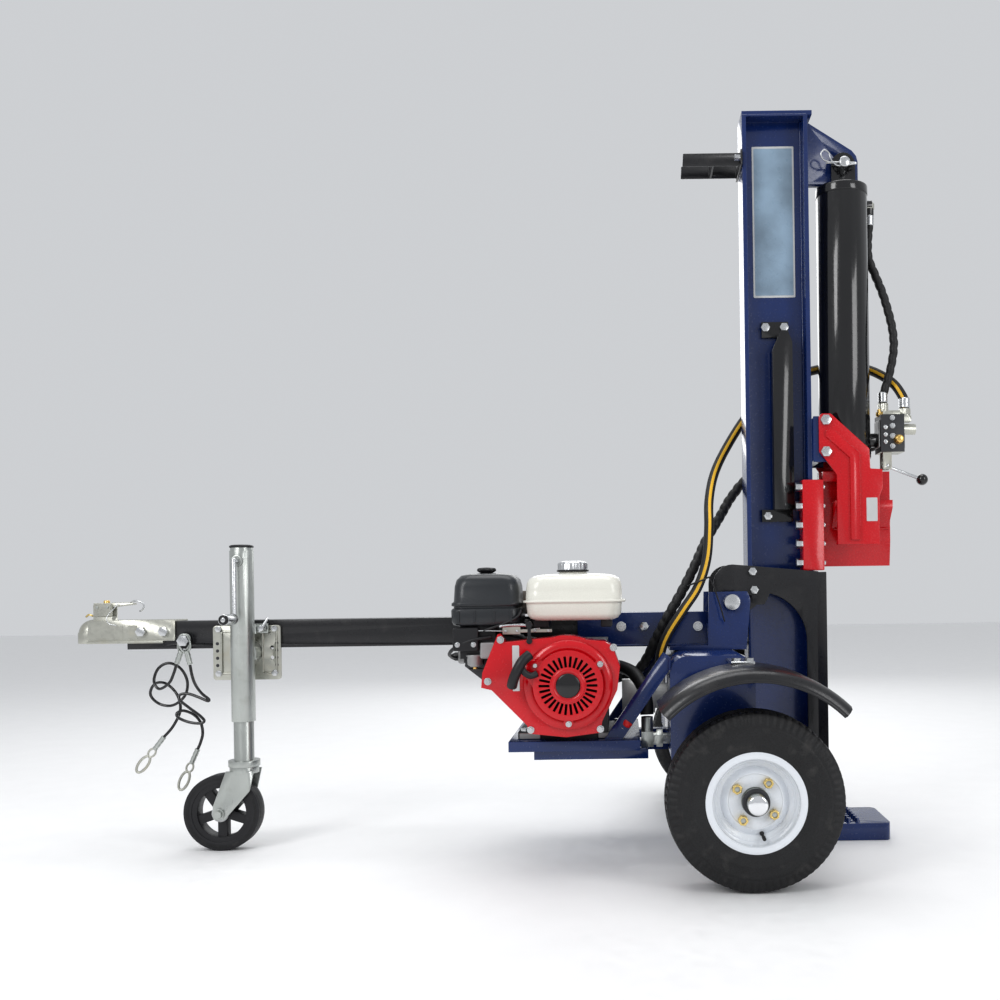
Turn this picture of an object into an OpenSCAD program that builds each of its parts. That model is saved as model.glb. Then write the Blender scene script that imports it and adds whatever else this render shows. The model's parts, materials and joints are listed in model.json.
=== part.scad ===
/* [Wheels] */
// Outer diameter of the road tyres
tyre_d = 410; // [406:1:412]
// Distance between the two wheel centres
track = 1040; // [1036:2:1050]
// Diameter of the jack's wheel
jack_wheel_d = 203; // [198:1:206]

/* [Tongue and coupler] */
// Side of the square tongue tube
tongue_side = 76; // [75:0.5:77]
// Height of the tongue's underside above the ground
tongue_z = 539; // [537:1:541]
// Diameter of the coupler's ball socket
socket_d = 51.6; // [51:0.1:52]

/* [Splitting beam] */
// Depth of the I-beam from back face to front face
beam_depth = 181; // [180:1:182]
// Width of the I-beam's flanges
beam_w = 102; // [100:1:103]
// Height of the beam's top above the ground
beam_top = 1996; // [1985:1:2005]

/* [Cylinder and wedge] */
// Outer diameter of the cylinder's barrel
barrel_d = 140; // [136:1:141]
// Diameter of the piston rod
rod_d = 50.8; // [48:0.1:52]
// Height of the wedge's cutting edge above the ground when it is drawn back
wedge_z = 742; // [740:1:744]

/* [Hidden] */
$fn = 48;

// The origin is the middle of the footprint, so the axle stands ahead of it.
coupler_nose = 1815;
lever_x = 446;
lever_z = 1020;
lever_arm = 108;
lever_lean = 21;
knob_r = 16;
axle_x = (coupler_nose - lever_x - lever_arm * cos(lever_lean) - knob_r) / 2;
wheel_z = tyre_d / 2;
hub_y = track / 2;
spindle_r = 19;
fit = 0.05;
gap = 0.4;

tongue_top = tongue_z + tongue_side;
beam_x = 50;
beam_front = beam_x + beam_depth;
flange_t = 12;
pivot_z = 648;
pin_r = 16;
cyl_x = 332;
barrel_top = 1796;
barrel_low = 1040;
cyl_pin_z = 1854;
jack_x = -1324;
jack_y = -95;
jack_pivot_z = 527;
caster_x = -1380;
crank_z = 777;
shaft_x = -427;
shaft_z = 460;

// ---- shared shapes ----

module at_axle() {
  translate([axle_x, 0, 0]) children();
}

module both_sides() {
  children();
  mirror([0, 1, 0]) children();
}

// A box given by its low and high corners.
module block(low, high) {
  translate(low) cube(high - low);
}

// A round bar along Y, centred on x and z.
module bar_y(x, z, r, y0, y1) {
  translate([x, y0, z]) rotate([-90, 0, 0]) cylinder(r = r, h = y1 - y0);
}

// A round bar along X, centred on y and z.
module bar_x(y, z, r, x0, x1) {
  translate([x0, y, z]) rotate([0, 90, 0]) cylinder(r = r, h = x1 - x0);
}

// An outline drawn as [x, z], made into a plate from y0 to y1.
module plate_y(y0, y1) {
  translate([0, y1, 0]) rotate([90, 0, 0]) linear_extrude(y1 - y0) children();
}

module round_rect(w, h, r) {
  translate([r, 0]) square([w - 2 * r, h]);
  translate([0, r]) square([w, h - 2 * r]);
  for (x = [r, w - r], y = [r, h - r]) translate([x, y]) circle(r);
}

// A hexagon bolt along Y: its head starts at y_face and stands out towards side * Y.
module bolt_y(x, z, across, head, y_face, side, shank_r, shank) {
  translate([x, y_face, z]) rotate([side > 0 ? -90 : 90, 0, 0]) {
    cylinder(d = across / cos(30), h = head, $fn = 6);
    translate([0, 0, -shank]) cylinder(r = shank_r, h = shank + head / 2);
  }
}

// Points of an arc, from angle a0 to a1.
function arc(cx, cy, r, a0, a1, n = 8) =
  [for (i = [0 : n]) let (a = a0 + (a1 - a0) * i / n) [cx + r * cos(a), cy + r * sin(a)]];

// ---- swept cords ----

function unit(v) = v / norm(v);
function bez(p, q, r, s, t) =
  0.5 * (2 * q + (r - p) * t + (2 * p - 5 * q + 4 * r - s) * t * t
    + (3 * q - p - 3 * r + s) * t * t * t);
// A smooth curve through the route's points, with n steps between two of them.
function smooth(p, n) = [
  for (i = [0 : len(p) - 2], k = [0 : n - 1])
    bez(p[max(i - 1, 0)], p[i], p[i + 1], p[min(i + 2, len(p) - 1)], k / n),
  p[len(p) - 1]
];
function heading(p, i) = unit(p[min(i + 1, len(p) - 1)] - p[max(i - 1, 0)]);
// The ring's side direction is carried along the curve, so the tube never twists.
function sides(p, i = 0, last = [0, 1, 0.01]) =
  i == len(p) ? [] :
  let (h = heading(p, i), s = unit(last - h * (last * h)))
  concat([s], sides(p, i + 1, s));

module swept(route, r, n, ring) {
  p = smooth(route, n);
  s = sides(p);
  points = [
    for (i = [0 : len(p) - 1])
      let (h = heading(p, i), u = s[i], v = cross(h, u))
      for (k = [0 : ring - 1]) p[i] + r * (cos(360 * k / ring) * u + sin(360 * k / ring) * v)
  ];
  last = (len(p) - 1) * ring;
  faces = concat(
    [[for (k = [0 : ring - 1]) ring - 1 - k]],
    [for (i = [0 : len(p) - 2], k = [0 : ring - 1]) let (a = i * ring + k, b = i * ring + (k + 1) % ring)
      [a, b, b + ring, a + ring]],
    [[for (k = [0 : ring - 1]) last + k]]
  );
  polyhedron(points = points, faces = [for (f = faces) [for (k = [len(f) - 1 : -1 : 0]) f[k]]]);
}

// ---- routes of the cords, in millimetres from the axle ----

cable_r = 4;
front_cable_route = [
  [-1527, -42, 498], [-1535, -42, 472], [-1550, -38, 445], [-1582, -28, 428], [-1600, -20, 450],
  [-1590, -14, 484], [-1562, -10, 498], [-1530, -8, 482], [-1514, -4, 445], [-1525, 4, 405],
  [-1562, 12, 378], [-1602, 16, 382], [-1626, 14, 408], [-1612, 8, 438], [-1580, 0, 442],
  [-1545, -14, 420], [-1528, -22, 390], [-1528, -24, 360], [-1548, -24, 322], [-1572, -24, 295]
];
rear_cable_route = [
  [-1487, -49, 495], [-1482, -48, 465], [-1474, -46, 440], [-1458, -44, 416], [-1440, -42, 400],
  [-1444, -38, 394], [-1470, -34, 404], [-1500, -32, 414], [-1522, -34, 412], [-1520, -40, 398],
  [-1492, -44, 376], [-1462, -46, 354], [-1450, -48, 340], [-1462, -50, 334], [-1494, -48, 338],
  [-1522, -46, 350], [-1528, -42, 362], [-1512, -36, 368], [-1484, -34, 356], [-1466, -34, 334],
  [-1460, -36, 305], [-1466, -36, 280], [-1474, -36, 262]
];
hose_r = 13;
suction_hose_r = 17;
work_hose_r = 11;
suction_hose_route = [
  [-338, -32, 476], [-334, -58, 478], [-318, -95, 480], [-296, -140, 478], [-270, -190, 468],
  [-248, -235, 440], [-239, -263, 405], [-237, -270, 369]
];
pressure_hose_route = [
  [-336, 0, 440], [-305, -2, 440], [-275, -14, 448], [-248, -38, 470], [-226, -58, 505],
  [-205, -70, 550], [-172, -74, 612], [-132, -70, 680], [-95, -50, 750], [-60, -10, 820],
  [-15, 40, 890], [20, 76, 945], [70, 98, 1000], [150, 112, 1040], [240, 116, 1060],
  [330, 116, 1075], [400, 104, 1082], [440, 84, 1090], [452, 60, 1092], [452, 39, 1092]
];
return_hose_route = [
  [-197, -110, 452], [-198, -112, 485], [-192, -114, 525], [-172, -114, 570], [-132, -112, 630],
  [-92, -106, 690], [-66, -88, 765], [-56, -54, 850], [-50, 0, 930], [-30, 50, 1010],
  [10, 84, 1090], [70, 98, 1180], [140, 102, 1250], [215, 100, 1295], [290, 96, 1315],
  [360, 92, 1318], [410, 60, 1304], [448, 30, 1278], [478, 16, 1250], [496, 4, 1216],
  [500, 0, 1198], [500, 0, 1181.5]
];
work_hose_route = [
  [418, 38, 1733], [417, 38, 1700], [413, 36, 1655], [414, 32, 1610], [430, 24, 1560],
  [446, 14, 1510], [459, 4, 1455], [468, -6, 1400], [470, -10, 1350], [463, -8, 1300],
  [451, -4, 1252], [441, 0, 1220], [440, 0, 1197.5]
];

// ---- frame ----

module tongue() color("#1b1b1d") at_axle() difference() {
  block([-1664, -tongue_side / 2, tongue_z], [-250, tongue_side / 2, tongue_top]);
  block([-1665, -tongue_side / 2 + 5, tongue_z + 5], [-249, tongue_side / 2 - 5, tongue_top - 5]);
  bar_y(-1503, 562, 8, -60, 60);
}

module main_frame() color("#1f2f63") at_axle() {
  tube_half = tongue_side / 2 + gap + 6;
  difference() {
    block([-420, -tube_half, tongue_z - 7], [-60, tube_half, tongue_top + 7]);
    block([-421, -tube_half + 6, tongue_z - 1], [-59, tube_half - 6, tongue_top + 1]);
  }
  block([-170, -100, 520], [38, 100, tongue_z - 7]);
  both_sides() difference() {
    plate_y(88, 98) polygon(concat(
      [[-66, 520], [38, 520]],
      arc(0, pivot_z, 50, -10, 35),
      [[-62, pivot_z + 28]]
    ));
    bar_y(0, pivot_z, pin_r + fit, 80, 105);
  }
  for (x = [-66, 28]) both_sides() block([x, 46, 532], [x + 8, 88.5, 590]);
}

module reservoir() color("#21346b") at_axle() difference() {
  translate([-180, 330, 230]) rotate([90, 0, 0]) linear_extrude(660) round_rect(212, 290, 45);
  translate([-174, 324, 236]) rotate([90, 0, 0]) linear_extrude(648) round_rect(200, 278, 39);
  bar_x(-270, 309, 14, -190, -170);
}

module axle() color("#20242c") at_axle() {
  block([-25, -455, wheel_z - 25], [25, 455, wheel_z + 25]);
  both_sides() {
    bar_y(0, wheel_z, spindle_r, 450, hub_y + 50);
    bar_y(0, wheel_z, 12, hub_y + 49, hub_y + 66);
    translate([0, hub_y + 51.5, wheel_z]) rotate([-90, 0, 0]) cylinder(r = 18.5, h = 9, $fn = 6);
  }
}

module engine_platform() color("#20336b") at_axle() {
  difference() {
    block([-580, -350, 291], [-256, 60, 316]);
    block([-574, -344, 280], [-262, 54, 310]);
  }
  block([-519, -330, 268], [-236, -290, 291.5]);
  for (y = [-190, 20]) block([-519, y, 268], [-180.5, y + 40, 291.5]);
  for (y = [-330, 42]) plate_y(y, y + 18)
    polygon([[-345, 315.5], [-300, 315.5], [-181, 486], [-181, 520], [-196, 530]]);
}

module fenders() color("#3a3b3e") at_axle() both_sides()
  translate([0, 400, wheel_z]) rotate([-90, 0, 0]) rotate([0, 0, -135]) difference() {
    rotate_extrude(angle = 90, $fn = 96) difference() {
      translate([278, 0]) square([24, 210]);
      translate([270, 4]) square([28, 202]);
    }
  }

module frame_bolts() color("#d8d8d4") at_axle() {
  both_sides() {
    block([-40, 330.3, 507.5], [16, 450, 513.5]);
    for (x = [-26, 4]) translate([x, 430, 513.5]) cylinder(d = 22, h = 7, $fn = 6);
  }
  bolt_y(-237, 584, 22, 9, -tongue_side / 2 - gap - 6.2, -1, 4, 0);
  for (x = [-1622, -1560]) both_sides() bolt_y(x, 588, 24, 10, 42.7, 1, 5, 0);
  bolt_y(-1503, 562, 28, 8, -tongue_side / 2 - 14, -1, 7.6, 94);
  for (x = [-1408, -1254], z = [470, 592]) bolt_y(x, z, 16, 5, -46.2, -1, 4, 0);
  for (x = [-545, -312], y = [-296, -130]) translate([x, y, 334.2]) cylinder(d = 18, h = 8, $fn = 6);
}

module pivot_pin() color("#d9d9d6") at_axle() {
  bar_y(0, pivot_z, pin_r - fit, -104, 104);
  bar_y(0, pivot_z, 21, -112, -98.4);
  bar_y(0, pivot_z, 21, 98.4, 106);
}

// ---- engine ----

module engine_block() color("#b9bab8") at_axle() difference() {
  union() {
    block([-560, -310, 316], [-300, -112, 334]);
    block([-530, -316, 333], [-335, -116, 560]);
    plate_y(-300, -130) polygon([[-520, 380], [-612, 436], [-692, 500], [-684, 560], [-640, 586], [-520, 560]]);
    bar_y(shaft_x, shaft_z, 60, -117, -112);
  }
  bar_y(shaft_x, shaft_z, 16, -200, -100);
}

module blower_housing() color("#c8141c") at_axle() difference() {
  union() {
    plate_y(-398, -320) polygon([
      [-597, 583], [-583, 563], [-457, 575], [-340, 563], [-321, 552], [-303, 502], [-310, 446],
      [-347, 371], [-353, 343], [-434, 333], [-525, 343], [-528, 362], [-613, 449], [-638, 455],
      [-635, 491]
    ]);
    bar_y(-434, 460, 118, -397, -321);
  }
  bar_y(shaft_x, shaft_z, 92, -400, -319);
}

module recoil_starter() color("#c8141c") at_axle() difference() {
  union() {
    bar_y(shaft_x, shaft_z, 106, -410, -398.4);
    bar_y(shaft_x, shaft_z, 84, -428, -409);
    for (a = [33, 148, 270])
      bar_y(shaft_x + 88 * cos(a), shaft_z + 88 * sin(a), 12, -422, -400);
    plate_y(-424, -398.4) polygon([[-540, 500], [-530, 520], [-440, 520], [-440, 400], [-500, 440]]);
  }
  bar_y(shaft_x, shaft_z, 74, -422, -397);
  for (a = [0 : 12 : 348]) translate([shaft_x, 0, shaft_z]) rotate([0, a, 0])
    block([44, -430, -3], [70, -415, 3]);
}

module fuel_tank() color("#ecebe2") at_axle() {
  translate([0, 0, 612]) linear_extrude(46) translate([-533, -366]) round_rect(236, 232, 34);
  translate([0, 0, 657]) linear_extrude(6) translate([-540, -372]) round_rect(252, 244, 38);
  translate([0, 0, 662]) linear_extrude(52) translate([-533, -366]) round_rect(238, 232, 36);
  translate([0, 0, 713]) linear_extrude(14) translate([-524, -357]) round_rect(220, 214, 40);
  translate([shaft_x + 6, -250, 726]) cylinder(r = 36, h = 7);
  for (x = [-500, -340]) block([x, -300, 560.5], [x + 20, -200, 613]);
}

module fuel_cap() color("#2b2b2d") at_axle() translate([shaft_x + 6, -250, 733.4]) {
  cylinder(r = 39, h = 22);
  cylinder(r = 34, h = 28);
  for (a = [0 : 60 : 300]) rotate([0, 0, a]) translate([34, -7, 2]) cube([8, 14, 20]);
}

module air_cleaner() color("#2a2c2e") at_axle() {
  translate([0, 0, 600]) linear_extrude(46) translate([-722, -340]) round_rect(174, 166, 26);
  translate([0, 0, 645.5]) linear_extrude(72) translate([-716, -334]) round_rect(164, 154, 28);
  translate([0, 0, 717]) linear_extrude(16) translate([-708, -326]) round_rect(148, 138, 30);
  translate([-640, -257, 732.5]) cylinder(r = 15, h = 8);
  translate([-640, -257, 740]) cylinder(r = 22, h = 7);
}

module carburettor() color("#8f9190") at_axle() {
  block([-700, -319, 520], [-612, -306, 599.5]);
  block([-660, -307, 590], [-545, -200, 599.5]);
  bar_x(-250, 592, 22, -546, -534);
  block([-600, -316, 584], [-543, -302, 599.5]);
}

module muffler() color("#6e6c68") at_axle() {
  block([-650, -122, 624], [-524, -34, 686]);
  bar_x(-78, 655, 16, -524.5, -500);
  block([-640, -130, 566], [-600, -108, 640]);
}

module throttle_lever() color("#2b2b2d") at_axle() translate([-520, -404, 566]) {
  bar_y(0, 0, 7, 0, 5);
  block([-4, 0, 0], [4, 4, 40]);
  bar_y(0, 40, 8, -6, 5);
}

module pump_mount() color("#33363a") at_axle() difference() {
  union() {
    bar_y(shaft_x, shaft_z, 66, -111.6, -104);
    bar_y(shaft_x, shaft_z, 46, -105, -52);
    bar_y(shaft_x, shaft_z, 58, -53, -46);
  }
  bar_y(shaft_x, shaft_z, 38, -112, -45);
}

module hydraulic_pump() color("#8c8f92") at_axle() {
  bar_y(shaft_x, shaft_z, 56, -45.6, -36);
  plate_y(-36.5, 42) translate([shaft_x - 52, shaft_z - 44]) round_rect(104, 76, 16);
  bar_y(shaft_x, shaft_z, 11, -106, -45);
  bar_x(0, 440, 20, -376, -352);
  bar_x(0, 440, 26, -353, -338);
  bar_x(10, 476, 18, -376, -338);
  bar_y(-338, 476, 18, -27, 10);
}

module oil_filter() color("#e4e4e0") at_axle() {
  bar_x(-110, 400, 46, -300, -212);
  bar_x(-110, 400, 34, -212.5, -180.5);
  translate([-197, -110, 425]) cylinder(r = 14, h = 25.5);
}

module suction_fitting() color("#c9cac6") at_axle() {
  bar_x(-270, 309, 13.5, -200, -176);
  translate([-214, -270, 309]) rotate([0, 90, 0]) cylinder(r = 22, h = 16, $fn = 6);
  bar_x(-270, 309, 16, -252, -213);
  block([-252, -290, 290], [-222, -250, 328]);
  translate([-237, -270, 327]) cylinder(r = 15, h = 37);
}

// ---- tongue end: coupler, jack and safety cables ----

module coupler_body() color("#c9c8bd") at_axle() {
  bar_y(-1752, 652, 4, -16, 16);
  coupler_shell();
}

module coupler_shell() difference() {
  union() {
    block([-1770, -42.5, 562], [-1530, 42.5, tongue_top + 4.5]);
    block([-1770, -50, 556], [-1560, 50, 562.5]);
    translate([-1775, 0, 556]) cylinder(r = 40, h = 30);
    translate([-1775, 0, 584]) sphere(r = 38);
    block([-1768, -16, 600], [-1716, 16, 662]);
  }
  block([-1745, -tongue_side / 2 - gap, 550], [-1529, tongue_side / 2 + gap, tongue_top + gap]);
  translate([-1775, 0, 580]) sphere(d = socket_d);
  translate([-1775, 0, 540]) cylinder(d = socket_d, h = 40);
  block([-1775, -socket_d / 2, 550], [-1744, socket_d / 2, 580]);
  block([-1770, -12, 630], [-1714, 12, 663]);
}

module coupler_latch() color("#d5d5cf") at_axle() {
  difference() {
    plate_y(-11.6, 11.6) polygon([[-1766, 640], [-1750, 636], [-1734, 654], [-1660, 662], [-1659, 667], [-1764, 666]]);
    bar_y(-1752, 652, 4 + fit, -20, 20);
  }
}

module jack_mount() color("#c4c4b4") at_axle() {
  difference() {
    translate([0, -tongue_side / 2 - gap, 0]) plate_y(-7.6, 0) translate([-1424, 452]) round_rect(186, 149, 8);
    for (z = [512, 540]) bar_y(-1262, z, 5.5, -60, -30);
  }
  bar_y(jack_x, jack_pivot_z, 24, -61, -45.8);
}

module jack_tube() color("#c6c8c4") at_axle() {
  difference() {
    union() {
      translate([jack_x, jack_y, 345]) cylinder(r = 31, h = 460);
      bar_y(jack_x, jack_pivot_z, 36, jack_y, -47);
      bar_y(jack_x, crank_z, 15, -132, jack_y);
      block([jack_x, -58, 580], [-1268, -52, 606]);
      block([jack_x, -90, 580], [-1290, -57, 606]);
    }
    translate([jack_x, jack_y, 344]) cylinder(r = 26 + fit, h = 440);
    bar_y(jack_x, jack_pivot_z, 24 + fit, -64, -40);
    bar_y(jack_x, crank_z, 7 + fit, -140, -110);
    bar_y(-1279, 594, 5 + fit, -60, -50);
  }
  translate([jack_x, jack_y, 804.5]) cylinder(r = 29, h = 13);
}

module jack_ram() color("#bfc3c4") at_axle() difference() {
  union() {
    translate([jack_x, jack_y, 232]) cylinder(r = 26, h = 378);
    translate([jack_x, jack_y, 224]) cylinder(r = 41, h = 16);
  }
  translate([jack_x, jack_y, 256]) cylinder(r = 20, h = 360);
  translate([jack_x, jack_y, 220]) cylinder(r = 9 + fit, h = 34);
}

module jack_crank() color("#d7d7d3") at_axle() {
  bar_y(jack_x, crank_z, 7, -152, -112);
  translate([jack_x, -152, 618]) cylinder(r = 6, h = 162);
  bar_y(jack_x, 622, 6, -230, -152);
  difference() {
    bar_y(jack_x, 622, 14, -226, -160);
    bar_y(jack_x, 622, 6, -230, -150);
  }
}

module jack_pull_pin() color("#dcdcd8") at_axle() {
  bar_y(-1279, 594, 5, -84, -46.6);
  bar_y(-1279, 594, 8, -86, -62);
  translate([-1279, -80, 594]) rotate([0, 35, 0]) cylinder(r = 4, h = 34);
  translate([-1279, -80, 594]) rotate([0, 215, 0]) cylinder(r = 4, h = 11);
}

module caster_fork() color("#c3c6c8") at_axle() {
  translate([jack_x, jack_y, 206]) cylinder(r = 38, h = 17.6);
  translate([jack_x, jack_y, 206]) cylinder(r = 9, h = 42);
  for (y = [jack_y - 34, jack_y + 28]) plate_y(y, y + 6)
    polygon([[-1362, 214], [-1288, 214], [-1300, 160], [-1366, 86], [-1396, 86], [-1398, 120]]);
  bar_y(caster_x, jack_wheel_d / 2, 8, jack_y - 40, jack_y + 40);
}

module jack_wheel() color("#232325") at_axle()
  translate([caster_x, jack_y - 22, jack_wheel_d / 2]) rotate([-90, 0, 0]) difference() {
    union() {
      rotate_extrude($fn = 96) polygon([
        [66, 2], [80, 2], [80, 0], [jack_wheel_d / 2, 0], [jack_wheel_d / 2, 44], [80, 44],
        [80, 42], [66, 42]
      ]);
      translate([0, 0, -4]) cylinder(r = 22, h = 52);
      for (a = [18 : 72 : 306]) rotate([0, 0, a]) translate([19, -12, 8]) cube([50, 24, 28]);
    }
    translate([0, 0, -5]) cylinder(r = 8 + fit, h = 54);
  }

module safety_cable_front() color("#222222") at_axle() swept(front_cable_route, cable_r, 1, 8);
module safety_cable_rear() color("#222222") at_axle() swept(rear_cable_route, cable_r, 1, 8);

// A pressed sleeve and snap hook on a cable's end; it points down and to the left.
module cable_end(x, y, z, lean) {
  translate([x, y, z]) rotate([0, lean, 0]) {
    translate([0, 0, -44]) cylinder(r = 7, h = 44);
    translate([0, 2.5, -78]) rotate([90, 0, 0]) difference() {
      cylinder(r = 24, h = 5);
      translate([0, 0, -1]) cylinder(r = 18, h = 7);
    }
    translate([-3.5, -2.5, -56]) cube([7, 5, 14]);
    translate([-4, -2.5, -128]) cube([6, 5, 30]);
  }
}

// The sleeve and eye at a cable's top end, hanging from the tongue's bolt.
module cable_eye(x, y, lean) {
  translate([-1503, y, 562]) rotate([0, lean, 0]) {
    translate([0, 0, -68]) cylinder(r = 8, h = 40);
    rotate([-90, 0, 0]) difference() {
      cylinder(r = 27, h = 6, center = true);
      cylinder(r = 12, h = 8, center = true);
    }
  }
}

module cable_hook_front() color("#c9ccd0") at_axle() {
  cable_end(-1572, -24, 295, 38);
  cable_eye(-1503, -42, 20);
}
module cable_hook_rear() color("#c9ccd0") at_axle() {
  cable_end(-1474, -36, 262, 24);
  cable_eye(-1503, -49, -14);
}

// ---- road wheels ----

// The tyre's outline from bead to bead: distance from the axle and half width.
function tyre_side(out) = [
  [102, out ? 51 : 40], [116, out ? 52 : 42], [140, out ? 58 : 50], [165, out ? 60 : 52],
  [184, out ? 56 : 46], [tyre_d / 2 - (out ? 6 : 15), out ? 46 : 34],
  [tyre_d / 2 - (out ? 0 : 14), out ? 26 : 20]
];
function flip(p) = [for (i = [len(p) - 1 : -1 : 0]) [p[i][0], -p[i][1]]];

module at_wheel(side) {
  at_axle() translate([0, side * hub_y, wheel_z]) rotate([side * -90, 0, 0]) children();
}

module tyre(side) color("#232323") at_wheel(side) rotate_extrude($fn = 96) polygon(concat(
  tyre_side(true), flip(tyre_side(true)), [for (p = tyre_side(false)) [p[0], -p[1]]],
  flip([for (p = tyre_side(false)) [p[0], -p[1]]])
));

module rim(side) color("#eceff2") at_wheel(side) difference() {
  rotate_extrude($fn = 96) polygon([
    [99, 55], [98.6, 32], [79, 21], [79, 18], [76, 20], [66, 28], [32, 28], [32, 24], [64, 24],
    [74, 14], [79, 9], [79, -21], [98.6, -32], [99, -55], [115, -55], [115, -52.6],
    [101.6, -52.4], [101.6, -29.5], [82, -18.5], [82, 18.5], [101.6, 29.5], [101.6, 52.4],
    [115, 52.6], [115, 55]
  ]);
  for (a = [55 : 90 : 325]) rotate([0, 0, a]) translate([50.8, 0, 20]) cylinder(r = 6.4, h = 12);
}

module hub(side) color("#b9bcbf") at_wheel(side) difference() {
  union() {
    translate([0, 0, -50]) cylinder(r = 30, h = 99);
    translate([0, 0, 12]) cylinder(r = 62, h = 11.8);
    translate([0, 0, 48]) cylinder(r = 22.5, h = 32);
    for (a = [55 : 90 : 325]) rotate([0, 0, a]) translate([50.8, 0, 12]) cylinder(r = 6, h = 28);
  }
  translate([0, 0, -51]) cylinder(r = spindle_r + fit, h = 101);
  translate([0, 0, -34]) cylinder(r = 26, h = 66);
  translate([0, 0, 49]) cylinder(r = 20, h = 28);
}

module lug_nuts(side) color("#c8b04a") at_wheel(side) difference() {
  for (a = [55 : 90 : 325]) rotate([0, 0, a]) translate([50.8, 0, 28.2]) cylinder(r = 12, h = 14, $fn = 6);
  for (a = [55 : 90 : 325]) rotate([0, 0, a]) translate([50.8, 0, 27]) cylinder(r = 6.2, h = 20);
}

module tyre_near() tyre(-1);
module rim_near() rim(-1);
module hub_near() hub(-1);
module lug_nuts_near() lug_nuts(-1);
module tyre_far() tyre(1);
module rim_far() rim(1);
module hub_far() hub(1);
module lug_nuts_far() lug_nuts(1);

// ---- splitting beam ----

module beam() color("#1e2f66") at_axle() difference() {
  union() {
    for (x = [beam_x, beam_front - flange_t]) block([x, -beam_w / 2, 46], [x + flange_t, beam_w / 2, beam_top - 11]);
    block([beam_x + 5, -5, 46], [beam_front - 5, 5, beam_top - 10]);
    block([beam_x, -beam_w / 2, beam_top - 12], [beam_front + 12, beam_w / 2, beam_top]);
    plate_y(-12.5, 12.5) polygon([
      [beam_front - 2, beam_top - 12], [beam_front - 2, 1806], [cyl_x + 44, 1806],
      [cyl_x + 44, 1868], [cyl_x + 40, 1884], [cyl_x + 28, 1899]
    ]);
    block([beam_front - 1, -78, 1030], [beam_front + 26, 78, 1146]);
    both_sides() block([beam_front, 69, 1026], [beam_front + 54, 78, 1150]);
    both_sides() block([beam_x, 50, 660], [beam_x + 24, 77.6, 740]);
  }
  bar_y(cyl_x, cyl_pin_z, 13, -60, 60);
}

module foot_plate() color("#22376f") at_axle() {
  translate([beam_x, -100, 0]) linear_extrude(45.6) round_rect(422 - beam_x, 200, 18);
  for (x = [262 : 24 : 334], y = [-81 : 27 : 81]) translate([x, y, 45]) cylinder(r1 = 8, r2 = 4, h = 12);
}

module cradle(side) color("#151617") at_axle() mirror([0, side > 0 ? 0 : 1, 0]) difference() {
  union() {
    plate_y(78, 86) polygon(concat(
      [[beam_front + 6, 60], [beam_front + 6, 728]],
      arc(4, 698, 52, 90, 180), arc(0, pivot_z, 48, 180, 300),
      [[70, 640], [90, 640]], arc(70, 540, 134, 75, 5), [[204, 60]]
    ));
    translate([0, 0, 60]) linear_extrude(666) polygon([
      [beam_front + 6, 78], [beam_front + 24, 98], [beam_front + 24, 106], [beam_front + 2, 86]
    ]);
  }
  bar_y(0, pivot_z, pin_r + fit, 60, 90);
}
module log_cradles() {
  cradle(-1);
  cradle(1);
}

module transport_saddle() color("#1d1d1f") at_axle() {
  block([44, -64, 1844], [beam_x - 0.2, 64, 1887]);
  block([-32.5, -45, 1848], [-26.5, 45, 1883]);
  both_sides() plate_y(40.5, 46) polygon([[-114, 1848], [-112, 1883], [45, 1883], [45, 1848]]);
}

module beam_handle() color("#18191b") at_axle() {
  block([102, -14, 1380], [176, -5.2, 1424]);
  plate_y(-52, -12) polygon([
    [126, 900], [181, 900], [181, 1360], [168, 1392], [150, 1392], [126, 1340]
  ]);
  block([96, -17, 868], [182, -5.2, 901]);
}

module strippers() color("#c5141d") at_axle() both_sides() {
  plate_y(78.2, 86) polygon([
    [244, 1052], [244, 1148], [251, 1156], [277, 1156], [380, 1060], [382, 1005], [415, 1003],
    [415, 950], [406, 930], [406, 800], [291, 800], [291, 990], [262, 1030]
  ]);
  plate_y(85.5, 93) polygon([[262, 1112], [282, 1112], [352, 1048], [352, 812], [326, 812], [326, 1034], [262, 1092]]);
  block([291, 66, 800], [406, 79, 808]);
}

module beam_bolts() color("#dcdcd8") at_axle() {
  both_sides() {
    for (z = [1138, 1052]) bolt_y(262, z, 26, 10, 86.2, 1, 5, 0);
    for (p = [[58, 730], [62, 680]]) bolt_y(p[0], p[1], 20, 8, 86.2, 1, 5, 0);
    translate([43.8, 56, 1866]) rotate([0, -90, 0]) cylinder(d = 17, h = 16, $fn = 6);
  }
  for (x = [112, 164]) bolt_y(x, 1408, 22, 8, -14.3, -1, 5, 0);
  bolt_y(112, 884, 20, 8, -17.2, -1, 5, 0);
  // The pin that holds the cylinder's clevis, with its hairpin clip.
  bar_y(cyl_x, cyl_pin_z, 13 - fit, -46, 42);
  bar_y(cyl_x, cyl_pin_z, 18, 30.4, 42);
  bar_x(-40, cyl_pin_z, 2.2, cyl_x - 50, cyl_x + 34);
}

// ---- cylinder, valve and wedge ----

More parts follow.
